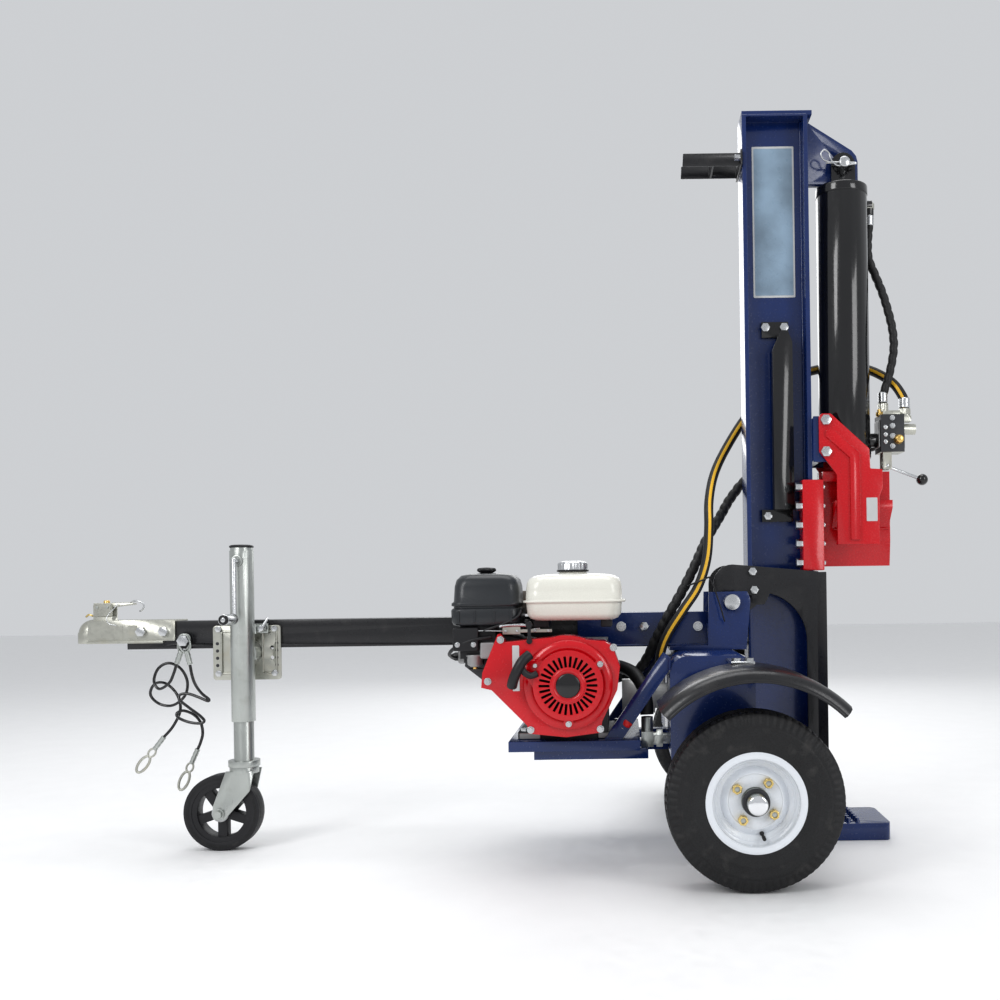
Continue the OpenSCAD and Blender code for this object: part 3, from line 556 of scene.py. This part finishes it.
cap_rows = [(0, 0), (39, 0), (39.5, 3), (39, 6), (37, 8), (37, 20), (35, 23), (30, 26), (24, 27.5), (0, 28)]
cap = lathe("cap_top", cap_rows, at(TANK_X, TANK_Y, 733.4), (0, 0, 1), STEEL, "fuel_cap", 72)
flute(cap, TANK_X, TANK_Y, low_z=739, inner=0.034, outer=0.038, count=18, depth=0.0012)
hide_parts("fuel_cap")
lathe("cap_seal", [(36, -0.5), (40.5, 0.4), (41, 3), (40, 5), (37, 5.5)], at(TANK_X, TANK_Y, 733.6),
      (0, 0, 1), PLASTIC, "fuel_cap", 48)


# ---- engine: air cleaner ----

cleaner_levels = [
    (-700, -570, -322, -192, 22, 600), (-716, -554, -336, -178, 26, 604),
    (-721, -549, -340, -174, 28, 612), (-722, -548, -340, -174, 28, 640),
    (-720, -550, -338, -176, 28, 644), (-716, -554, -334, -180, 26, 646),
    (-716, -554, -334, -180, 26, 650), (-721, -549, -339, -175, 28, 652),
    (-721, -549, -339, -175, 28, 658), (-716, -552, -334, -180, 28, 662),
    (-714, -554, -332, -182, 30, 700), (-710, -558, -328, -186, 32, 716),
    (-700, -568, -318, -196, 34, 727), (-680, -588, -300, -214, 30, 731),
    (-660, -608, -280, -234, 20, 733),
]
cleaner = loft("cleaner_shell", cleaner_levels, GREY_PLASTIC, "chassis")
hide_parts("air_cleaner")
knob = lathe("cleaner_knob", [(0, 15), (12, 15), (20, 13), (22, 10), (22, 6), (17, 3), (14, 0),
                              (14, -3)], at(CLEANER_X, CLEANER_Y, 732.5), (0, 0, 1), PLASTIC, "chassis", 60)
flute(knob, CLEANER_X, CLEANER_Y, low_z=0, inner=0.016, outer=1, count=6, depth=0.0022)
for x in (-700, -660, -612, -570):
    boxes("cleaner_rib", [((x - 3, -341.5, 610), (x + 3, -338, 640))], GREY_PLASTIC, "chassis", 0.0012)


# ---- engine: recoil starter, its grip and the shroud's bolts ----

lathe("recoil_disc", [(0, 3), (26, 3), (29, 1.5), (30, -2)], at(RECOIL_X, -428.2, RECOIL_Z), (0, -1, 0),
      GLOSS_BLACK, "chassis", 64)
lathe("recoil_ring", [(30.5, -2), (32, 2), (37, 2.6), (40, 2.2), (42, 0)],
      at(RECOIL_X, -427.6, RECOIL_Z), (0, -1, 0), ENGINE_RED, "chassis", 64)
lathe("recoil_flange", [(84, 2), (90, 6), (97, 4.5), (104, 2), (107, -1)], at(RECOIL_X, -409, RECOIL_Z),
      (0, -1, 0), ENGINE_RED, "chassis", 72)
bolt_circle_r = 92
for angle in (33, 148, 270):
    a = math.radians(angle)
    bolt("recoil_bolt", RECOIL_X + bolt_circle_r * math.cos(a), -422,
         RECOIL_Z + bolt_circle_r * math.sin(a), 10, 5, (0, -1, 0), "chassis")
wire("recoil_grip", [(-560, -432, 462), (-555, -444, 478), (-545, -450, 500), (-532, -447, 522),
                     (-516, -438, 536)], 0.0125, PLASTIC, "chassis", ring=16)
wire("recoil_hook", [(-540, -446, 512), (-528, -444, 494), (-514, -438, 486), (-500, -432, 490)],
     0.008, PLASTIC, "chassis", ring=14)
lathe("grip_collar", [(0, 4), (9, 4), (11, 0), (11, -10), (8, -14)], at(-532, -428, 505),
      (0.2, -1, 0), ENGINE_RED, "chassis", 24)
for x, z in ((-590, 570), (-318, 548), (-352, 352), (-520, 352), (-622, 470)):
    bolt("shroud_bolt", x, -398.2, z, 12, 6, (0, -1, 0), "chassis")


# ---- engine: head, plug, governor, carburettor and fillers ----

fins = [((-694 + 4 * abs(k - 3), -300, 492 + 13 * k), (-640, -128, 496 + 13 * k)) for k in range(7)]
boxes("cooling_fins", fins, CAST, "chassis", 0.0008)
boxes("head_cover", [((-712, -285, 505), (-692, -150, 566))], CAST, "chassis", 0.006)
wire("plug_lead", [(-712, -230, 520), (-728, -250, 520), (-732, -290, 530), (-712, -325, 548),
                   (-670, -335, 566), (-620, -330, 574)], 0.0045, PLASTIC, "chassis", ring=10)
lathe("plug_boot", [(0, 0), (9, 0), (11, 6), (11, 22), (8, 28), (5, 34), (0, 34)],
      at(-705, -230, 520), (-1, 0, 0), PLASTIC, "chassis", 24)
boxes("base_rib", [((-556, -314, 317), (-504, -309, 332)), ((-360, -314, 317), (-306, -309, 332))],
      CAST, "chassis", 0.002)
wire("governor_rod", [(-690, -330, 588), (-640, -332, 590), (-560, -334, 588), (-500, -334, 594)],
     0.0018, STEEL, "chassis")
wire("governor_spring", [(-600, -336, 600), (-560, -338, 603), (-520, -338, 600)], 0.004, STEEL,
     "chassis")
wire("fuel_line", [(-545, -330, 640), (-556, -338, 622), (-590, -336, 606), (-640, -330, 590)],
     0.0038, PLASTIC, "chassis", ring=10)
boxes("carburettor_bowl", [((-650, -335, 520), (-610, -312, 562))], CAST, "chassis", 0.006)
lathe("float_bowl", [(0, -2), (12, -2), (19, 3), (20, 22), (23, 24), (23, 28), (0, 28)],
      at(-664, -312, 502), (0, 0, 1), CAST, "chassis", 32)
lathe("bowl_plug", [(0, 0), (6, 0), (6, 7), (0, 7)], at(-664, -312, 494), (0, 0, 1), BRASS, "chassis", 6)
boxes("linkage_plate", [((-592, -337, 580), (-548, -335, 600)), ((-548, -337, 584), (-470, -335, 592))],
      ZINC, "chassis", 0.0006)
for x in (-584, -556, -512, -478):
    bolt("linkage_screw", x, -337, 588, 7, 3, (0, -1, 0), "chassis", STEEL, washer=False)
boxes("control_box", [((-716, -337, 540), (-652, -318, 598))], PLASTIC, "chassis", 0.004)
for x in (-704, -664):
    bolt("control_screw", x, -337, 556, 9, 3, (0, -1, 0), "chassis", STEEL)
lathe("dipstick", [(0, 14), (10, 14), (12, 11), (12, 2), (9, 0), (7, -20)], at(-290, -322, 350),
      (0.5, -0.4, 0.7), RED_PLASTIC, "chassis", 28)
lathe("filler_neck", [(0, 0), (12, 0), (12, 18), (9, 20)], at(-306, -312, 334), (0.5, -0.4, 0.7),
      CAST, "chassis", 24)
boxes("switch_box", [((-640, -332, 455), (-598, -318, 498))], PLASTIC, "chassis", 0.003)


# ---- hoses, with their spiral guard and crimped ends ----

def guard(distance, angle):
    """The bands of a spiral guard, with a narrow gap between two turns."""
    pitch = 0.027
    turn = (distance / pitch + angle / (2 * math.pi)) % 1
    return 0.84 + 0.26 * abs(math.sin(math.pi * turn)) ** 0.55


def plain(distance, angle):
    """A smooth hose cover with the faint weave of its braid."""
    return 1 + 0.012 * math.sin(distance * 900 + 3 * angle)


def hose(name, node, points, radius, body, cover, stripe=None):
    """A hose along the CAD's own route."""
    line, length = resample(smooth_route([at(*p) for p in points], 8), 0.0028)
    obj = tube(name, line, radius, RUBBER, body, 20, cover, stripe)
    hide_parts(node)
    return obj


PRESSURE_ROUTE = [
    (-336, 0, 440), (-305, -2, 440), (-275, -14, 448), (-248, -38, 470), (-226, -58, 505),
    (-205, -70, 550), (-172, -74, 612), (-132, -70, 680), (-95, -50, 750), (-60, -10, 820),
    (-15, 40, 890), (20, 76, 945), (70, 98, 1000), (150, 112, 1040), (240, 116, 1060),
    (330, 116, 1075), (400, 104, 1082), (440, 84, 1090), (452, 60, 1092), (452, 39, 1092)]
RETURN_ROUTE = [
    (-197, -110, 452), (-198, -112, 485), (-192, -114, 525), (-172, -114, 570), (-132, -112, 630),
    (-92, -106, 690), (-66, -88, 765), (-56, -54, 850), (-50, 0, 930), (-30, 50, 1010),
    (10, 84, 1090), (70, 98, 1180), (140, 102, 1250), (215, 100, 1295), (290, 96, 1315),
    (360, 92, 1318), (410, 60, 1304), (448, 30, 1278), (478, 16, 1250), (496, 4, 1216),
    (500, 0, 1198), (500, 0, 1181.5)]
SUCTION_ROUTE = [
    (-338, -32, 476), (-334, -58, 478), (-318, -95, 480), (-296, -140, 478), (-270, -190, 468),
    (-248, -235, 440), (-239, -263, 405), (-237, -270, 369)]
WORK_ROUTE = [
    (418, 38, 1733), (417, 38, 1700), (413, 36, 1655), (414, 32, 1610), (430, 24, 1560),
    (446, 14, 1510), (459, 4, 1455), (468, -6, 1400), (470, -10, 1350), (463, -8, 1300),
    (451, -4, 1252), (441, 0, 1220), (440, 0, 1197.5)]

pressure = hose("pressure_line", "pressure_hose", PRESSURE_ROUTE, 0.013, None, guard)
returning = hose("return_line", "return_hose", RETURN_ROUTE, 0.013, None, plain,
                 (YELLOW, (9, 10)))
for line in (pressure, returning):
    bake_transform(line)
tie_middle = at(-89, -97, 705)
tie_loop = []
for k in range(25):
    a = 2 * math.pi * k / 24
    tie_loop.append(tie_middle + Vector((0.03 * math.cos(a), 0.025 * math.sin(a),
                                         0.012 * math.cos(a))))
tie_tail = [at(-62, -108, 716), at(-50, -116, 690), at(-34, -118, 640), at(-22, -118, 596)]
for name, points in (("tie_band", tie_loop), ("tie_tail", smooth_route(tie_tail, 8))):
    band = tube(name, points, 0.0021, PLASTIC, None, 6)
    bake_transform(band)
hose("suction_line", "suction_hose", SUCTION_ROUTE, 0.017, "chassis", plain)
hose("work_line", "work_hose", WORK_ROUTE, 0.011, "splitting_beam", guard)


def crimp(name, point, towards, radius, body):
    """The pressed collar on a hose's end: it covers the hose's first centimetres."""
    r = radius * 1000
    rows = [(r * 0.9, 0), (r + 2.4, 0), (r + 2.6, 3), (r + 1.2, 5), (r + 2.4, 8), (r + 1.2, 12),
            (r + 2.4, 16), (r + 1.2, 20), (r + 2.4, 24), (r + 0.8, 28), (r * 0.9, 28)]
    return lathe(name, rows, at(*point), Vector(towards), STEEL, body, 28)


def hex_nut(name, point, axis, across, length, body):
    """A zinc hexagon nut with no washer."""
    return bolt(name, *point, across, length, axis, body, ZINC, washer=False)


crimp("crimp_pump", (-336, 0, 440), (1, -0.06, 0), 0.013, "chassis")
crimp("crimp_return", (-197, -110, 452), (0, -0.05, 1), 0.013, "chassis")
crimp("crimp_valve", (452, 40, 1092), (0, 1, 0), 0.013, "splitting_beam")
crimp("crimp_outlet", (500, 0, 1182), (0, 0, 1), 0.013, "splitting_beam")
crimp("crimp_work", (440, 0, 1198), (0, 0, 1), 0.011, "splitting_beam")
crimp("crimp_top", (418, 38, 1733), (0, 0, -1), 0.011, "splitting_beam")
hex_nut("nut_valve", (452, 30, 1092), (0, 1, 0), 30, 9, "splitting_beam")
hex_nut("nut_outlet", (500, 0, 1163), (0, 0, 1), 30, 16, "splitting_beam")
hex_nut("nut_work", (440, 0, 1176), (0, 0, 1), 27, 18, "splitting_beam")
hex_nut("nut_top", (418, 38, 1768), (0, 0, -1), 27, 16, "splitting_beam")
hex_nut("nut_port", (393, 38, 1762), (1, 0, 0), 30, 12, "splitting_beam")
hex_nut("nut_pump", (-352, 0, 440), (1, 0, 0), 40, 12, "chassis")


# ---- safety cables and their snap hooks ----

FRONT_ROUTE = [
    (-1527, -42, 498), (-1535, -42, 472), (-1550, -38, 445), (-1582, -28, 428), (-1600, -20, 450),
    (-1590, -14, 484), (-1562, -10, 498), (-1530, -8, 482), (-1514, -4, 445), (-1525, 4, 405),
    (-1562, 12, 378), (-1602, 16, 382), (-1626, 14, 408), (-1612, 8, 438), (-1580, 0, 442),
    (-1545, -14, 420), (-1528, -22, 390), (-1528, -24, 360), (-1548, -24, 322), (-1572, -24, 295)]
REAR_ROUTE = [
    (-1487, -49, 495), (-1482, -48, 465), (-1474, -46, 440), (-1458, -44, 416), (-1440, -42, 400),
    (-1444, -38, 394), (-1470, -34, 404), (-1500, -32, 414), (-1522, -34, 412), (-1520, -40, 398),
    (-1492, -44, 376), (-1462, -46, 354), (-1450, -48, 340), (-1462, -50, 334), (-1494, -48, 338),
    (-1522, -46, 350), (-1528, -42, 362), (-1512, -36, 368), (-1484, -34, 356), (-1466, -34, 334),
    (-1460, -36, 305), (-1466, -36, 280), (-1474, -36, 262)]


def turned(origin, lean, points):
    """Points (x, y, z) in mm, leant about Y at origin, as world points."""
    a = math.radians(lean)
    out = []
    for x, y, z in points:
        out.append(at(origin[0] + x * math.cos(a) + z * math.sin(a), origin[1] + y,
                      origin[2] - x * math.sin(a) + z * math.cos(a)))
    return out


def ferrule(name, origin, lean, top, length, radius):
    """A pressed sleeve with three crimp waists."""
    a = math.radians(lean)
    axis = Vector((math.sin(a), 0, math.cos(a)))
    rows = [(0, 0), (radius - 1, 0)]
    for k in range(13):
        waist = 0.9 if k % 4 == 2 else 0
        rows.append((radius - waist, length * (0.04 + 0.92 * k / 12)))
    rows += [(radius - 1, length), (0, length)]
    base = turned(origin, lean, [(0, 0, top - length)])[0]
    return lathe(name, rows, base, axis, TUBE_ZINC, "chassis", 24)


def loop(name, origin, lean, half_w, half_h, drop, radius, look=ZINC, gap=0):
    """A closed or open wire loop below a point."""
    points = []
    for k in range(33):
        a = math.radians(90 + gap + (360 - 2 * gap) * k / 32)
        points.append((half_w * math.cos(a), 0, half_h * math.sin(a) - drop))
    return tube(name, turned(origin, lean, points), radius, look, "chassis", 10)


def snap_hook(name, origin, lean):
    """A snap hook: an eye, a long body loop and its spring gate."""
    pieces = [loop(name + "_eye", origin, lean, 9, 13, 56, 0.0028),
              loop(name + "_body", origin, lean, 12, 27, 96, 0.0036, gap=6)]
    gate = turned(origin, lean, [(8, 0, -76), (12, 0, -92), (8, 0, -112)])
    pieces.append(tube(name + "_gate", resample(smooth_route(gate, 6), 0.003)[0], 0.0026, STEEL,
                       "chassis", 8))
    return pieces


for end, node, hook, route, low, lean, eye_lean, eye_y in (
        ("front", "safety_cable_front", "cable_hook_front", FRONT_ROUTE, (-1572, -24, 295), 38, 20, -42),
        ("rear", "safety_cable_rear", "cable_hook_rear", REAR_ROUTE, (-1474, -36, 262), 24, -14, -49)):
    line, length = resample(smooth_route([at(*p) for p in route], 6), 0.0035)
    cable = tube("cable_" + end, line, 0.004, GLOSS_BLACK, "chassis", 10)
    eye = (-1503, eye_y, 562)
    sleeve = ferrule("eye_sleeve_" + end, eye, eye_lean, -30, 38, 7.6)
    thimble = loop("eye_" + end, eye, eye_lean, 15, 25, 8, 0.0034, TUBE_ZINC)
    lower = ferrule("hook_sleeve_" + end, low, lean, 0, 44, 7)
    parts = snap_hook("hook_" + end, low, lean)
    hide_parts(node)
    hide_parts(hook)


# ---- plates, beam, cylinder and valve trim ----

BEAM = "splitting_beam"
plate("recoil_panel", (-562, -545, 446, 556), 2, -399.4, -398.2, PALE, "chassis")
plate("beam_panel_edge", (82, 199, 1494, 1916), 3, -6.0, -5, PALE, BEAM)
plate("beam_panel", (87, 194, 1500, 1910), 3, -6.4, -5.5, LABEL, BEAM)
plate("stripper_panel", (370, 400, 862, 926), 2, -86.8, -86, PALE, BEAM)
weld_bead("weld_web_back", ((63, -6.5, 420), (63, -6.5, 1982)), BEAM)
weld_bead("weld_web_front", ((218, -6.5, 420), (218, -6.5, 1982)), BEAM)
weld_bead("weld_top", ((52, -49, 1984), (229, -49, 1984)), BEAM)
weld_bead("weld_foot", ((64, -52, 47), (229, -52, 47)), BEAM)
weld_bead("weld_ledge", ((296, -13, 846), (446, -13, 846)), "wedge", RED)
weld_bead("weld_ear", ((233, -13.5, 1808), (233, -13.5, 1980)), BEAM)
wire("hairpin", [(366, -40, 1854), (316, -42, 1855), (284, -42, 1858), (270, -44, 1868),
                 (268, -45, 1880), (278, -45, 1888), (290, -44, 1880), (294, -43, 1866),
                 (304, -43, 1852), (320, -44, 1844), (366, -44, 1850)], 0.0022, STEEL, BEAM)
lathe("pin_head", [(0, 6), (13, 6), (15, 4), (15, 0)],
      at(CYLINDER_X, -46, 1854), (0, -1, 0), STEEL, BEAM, 32)
lathe("barrel_collar_top", [(60, 0), (70.6, 1), (71.2, 4), (71.2, 22), (70.6, 25), (60, 26)],
      at(CYLINDER_X, 0, 1771), (0, 0, 1), GLOSS_BLACK, BEAM, 72)
lathe("barrel_collar_low", [(60, 0), (71, 1), (71.8, 4), (71.8, 34), (71, 37), (60, 38)],
      at(CYLINDER_X, 0, CYLINDER_LOW_Z), (0, 0, 1), GLOSS_BLACK, BEAM, 72)
lathe("rod_seal", [(25.6, -4), (33, -4), (36, -1), (36, 2), (60, 2)],
      at(CYLINDER_X, 0, CYLINDER_LOW_Z), (0, 0, 1), RUBBER, BEAM, 48)
boxes("valve_ends", [((421, -26, 1070), (426, 26, 1146)), ((489, -26, 1066), (494, 26, 1110))],
      CAST, BEAM, 0.003)
for z in (1072, 1100, 1128, 1150):
    bolt("valve_bolt", 457, -34.2, z, 10, 5, (0, -1, 0), BEAM)
lathe("relief_cap", [(0, 16), (9, 16), (11, 14), (11, 2), (13, 0)], at(474, -34, 1090), (0, -1, 0),
      BRASS, BEAM, 24)
lathe("lever_boot", [(6, 0), (10, 1), (11, 6), (8, 8), (10.5, 12), (7.5, 15), (9, 19), (6, 22)],
      at(446, 0, 1036), (0, 0, 1), RUBBER, BEAM, 24)
valve = NODES["control_valve"]
valve.data.materials.append(ZINC)
block_low, block_high = at(420, -40, 1064), at(495.5, 40, 1159)
for face in valve.data.polygons:
    if not (block_low.x < face.center.x < block_high.x and block_low.z < face.center.z < block_high.z):
        face.material_index = 1
for z in (1084, 1104, 1124):
    lathe("valve_plug", [(0, 2.5), (4, 2.5), (7, 2), (7, 0)], at(438, -34, z), (0, -1, 0), STEEL, BEAM, 6)
lathe("gauge_port", [(0, 20), (7, 20), (7, 12), (11, 12), (11, 2), (8, 0)], at(430, -4, 1158),
      (0, 0, 1), BRASS, BEAM, 6)
lever = NODES["valve_lever"]
lever.data.materials.append(GLOSS_BLACK)
knob_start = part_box("valve_lever")[1].x - 0.033
for face in lever.data.polygons:
    if face.center.x > knob_start:
        face.material_index = 1


# ---- coupler, jack and tongue trim ----

wire("latch_clip", [(-1668, -6, 668), (-1656, -9, 673), (-1638, -11, 670), (-1629, -11, 660),
                    (-1633, -10, 649), (-1642, -8, 644)], 0.0022, STEEL, "coupler_latch")
boxes("latch_cheek", [((-1766, -18, 630), (-1718, -16.2, 668))], ZINC, "chassis", 0.0008)
for x, z in ((-1756, 656), (-1728, 656)):
    bolt("latch_rivet", x, -18, z, 8, 2.5, (0, -1, 0), "chassis", TUBE_ZINC, washer=False)
wire("latch_spring", [(-1792, -8, 630), (-1782, -12, 636), (-1770, -12, 632)], 0.0026, GOLD, "chassis")
lathe("latch_nut", [(0, 9), (7, 9), (9, 7), (9, 0)], at(-1738, 0, 666), (0, 0, 1), BRASS,
      "coupler_latch", 6)
boxes("latch_rib", [((-1722, -9, 661), (-1668, 9, 668.5))], ZINC, "coupler_latch", 0.002)
wire("lanyard", [(-1700, -14, 664), (-1706, -30, 650), (-1718, -40, 630), (-1712, -44, 612),
                 (-1690, -45, 606)], 0.0012, STEEL, "chassis")
for x in (-1700, -1660):
    boxes("coupler_rib", [((x, -43.4, 568), (x + 26, -42, 606))], ZINC, "chassis", 0.0007)
lathe("jack_cap", [(0, 4), (20, 4), (27, 3.2), (31, 1), (31.6, -1), (31.2, -3)],
      at(JACK_X, JACK_Y, 817), (0, 0, 1), PLASTIC, "jack", 48)
lathe("crank_grip", [(7, 0), (13, 0), (14.4, 3), (14, 8), (12.6, 12), (14, 18), (12.6, 24), (14, 30),
                     (12.6, 36), (14, 42), (12.6, 48), (14, 56), (13, 62), (0, 64)],
      at(JACK_X, -164, 622), (0, -1, 0), PLASTIC, "jack_crank", 32)
for x0, x1 in ((-1400, -1362), (-1287, -1249)):
    frame_route = [(x0, -47, 470), (x0, -47, 585), (x1, -47, 585), (x1, -47, 470), (x0, -47, 470)]
    for k in range(4):
        side_line, _ = resample([at(*frame_route[k]), at(*frame_route[k + 1])], 0.006)
        tube("mount_rib", side_line, 0.0028, ZINC, "chassis", 8)
for x in (-1412, -1249):
    for z in (492, 512, 532, 552):
        lathe("mount_hole", [(0, 0.3), (4.2, 0.3), (4.6, 0)], at(x, -46, z), (0, -1, 0), DARK_CAST,
              "chassis", 18)
jack_low, jack_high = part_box("jack_wheel")
jack_middle = (jack_low + jack_high) / 2
wheel_r = (jack_high.z - jack_low.z) / 2 * 1000
lathe("jack_tyre", [(88, -22.4), (93, -22.8), (98, -21), (wheel_r, -16), (wheel_r + 0.3, -8),
                    (wheel_r + 0.3, 8), (wheel_r, 16), (98, 21), (93, 22.8), (88, 22.4)],
      Vector((jack_middle.x, JACK_Y / 1000, jack_middle.z)), (0, -1, 0), TYRE,
      "caster_wheel", 96)
lathe("jack_wheel_face", [(22, 0), (23, 3), (16, 5), (9, 5)],
      Vector((jack_middle.x, -0.1208, jack_middle.z)), (0, -1, 0), PALE, "caster_wheel", 40)
bolt("caster_bolt", -1380, -135, 101.5, 20, 8, (0, -1, 0), "caster", TUBE_ZINC)

for x, z in ((-89, 582), (-300, 584)):
    bolt("sleeve_bolt", x, -44.8, z, 18, 8, (0, -1, 0), "chassis")


# ---- frame welds and fenders ----

for y in (-44.8, 44.8):
    weld_bead("weld_sleeve", ((-420, y, 532), (-60, y, 532)), "chassis")
for y in (-331, -311):
    weld_bead("weld_brace", ((-344, y, 317), (-301, y, 317)), "chassis")
weld_bead("weld_tank", ((-181, -331, 486), (-181, -331, 519)), "chassis")
weld_bead("weld_rail", ((-515, -331, 291), (-240, -331, 291)), "chassis", radius=0.003)


def fender(name, side):
    """A rolled guard over a tyre: a shallow crown across, and a deep rounded outer lip."""
    across = [(402, 300), (402, 303.4), (430, 304), (520, 304.5), (575, 303.5), (596, 299), (606, 291),
              (610, 281), (609, 276), (606, 276), (605, 281), (601, 289), (592, 295), (574, 299.6),
              (520, 300.8), (430, 300.4)]
    first_angle, sweep = 44.6, 90.8
    n = len(across)
    steps = 56
    verts = []
    for k in range(steps + 1):
        a = math.radians(first_angle + sweep * k / steps)
        for y, r in across:
            verts.append(at(r * math.cos(a), side * y, WHEEL_Z + r * math.sin(a)))
    faces = [tuple(range(n)), tuple(range(steps * n, steps * n + n))]
    for k in range(steps):
        for i in range(n):
            a, b = k * n + i, k * n + (i + 1) % n
            faces.append((a, b, b + n, a + n))
    return shell(name, verts, faces, SATIN_BLACK, "chassis", 0.0012)


guards = [fender("guard_near", -1), fender("guard_far", 1)]
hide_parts("fenders")
hem_r, hem_y, hem_steps = 276, 607.5, 60
for end, side in SIDES:
    line = []
    for k in range(hem_steps + 1):
        a = math.radians(45 + 90 * k / hem_steps)
        line.append(at(hem_r * math.cos(a), side * hem_y, WHEEL_Z + hem_r * math.sin(a)))
    tube("fender_hem_" + end, line, 0.0036, SATIN_BLACK, "chassis", 10)


# ---- stage and light ----

def floor():
    """A large pale floor under the part."""
    bm = bmesh.new()
    bmesh.ops.create_grid(bm, x_segments=1, y_segments=1, size=14)
    mesh = bpy.data.meshes.new("floor")
    bm.to_mesh(mesh)
    bm.free()
    obj = bpy.data.objects.new("floor", mesh)
    bpy.context.collection.objects.link(obj)
    obj.location = (0, 0, CAD_BOX[0][2] - 0.0005)
    mesh.materials.append(material("floor", (0.9, 0.9, 0.9), 0.6, grain=30, vary=0.01, bump=0.0))


def softbox(name, place, target, size, power):
    """A rectangular area light aimed at a point."""
    light = bpy.data.objects.new(name, bpy.data.lights.new(name, "AREA"))
    bpy.context.collection.objects.link(light)
    light.location = place
    light.data.shape = "RECTANGLE"
    light.data.size, light.data.size_y = size
    light.data.energy = power
    aim = Vector(target) - Vector(place)
    light.rotation_euler = aim.to_track_quat("-Z", "Y").to_euler()


floor()
softbox("key", (-2.6, -3.4, 3.2), (0.2, 0, 0.8), (1.6, 2.2), 58)
softbox("fill", (3.6, -3.2, 2.2), (0.4, 0, 0.9), (1.4, 2.4), 40)
softbox("top", (0.2, 0.3, 4.4), (0.2, 0, 0.5), (3.4, 2.6), 60)
softbox("rear", (0.5, 3.8, 2.6), (0.3, 0, 0.8), (3.0, 2.0), 30)
world = bpy.data.worlds.new("studio")
bpy.context.scene.world = world
world.use_nodes = True
world.node_tree.nodes["Background"].inputs["Color"].default_value = (0.95, 0.97, 1, 1)
world.node_tree.nodes["Background"].inputs["Strength"].default_value = 0.56
bpy.context.scene.view_settings.view_transform = "Standard"
bpy.context.scene.view_settings.look = "Medium High Contrast"
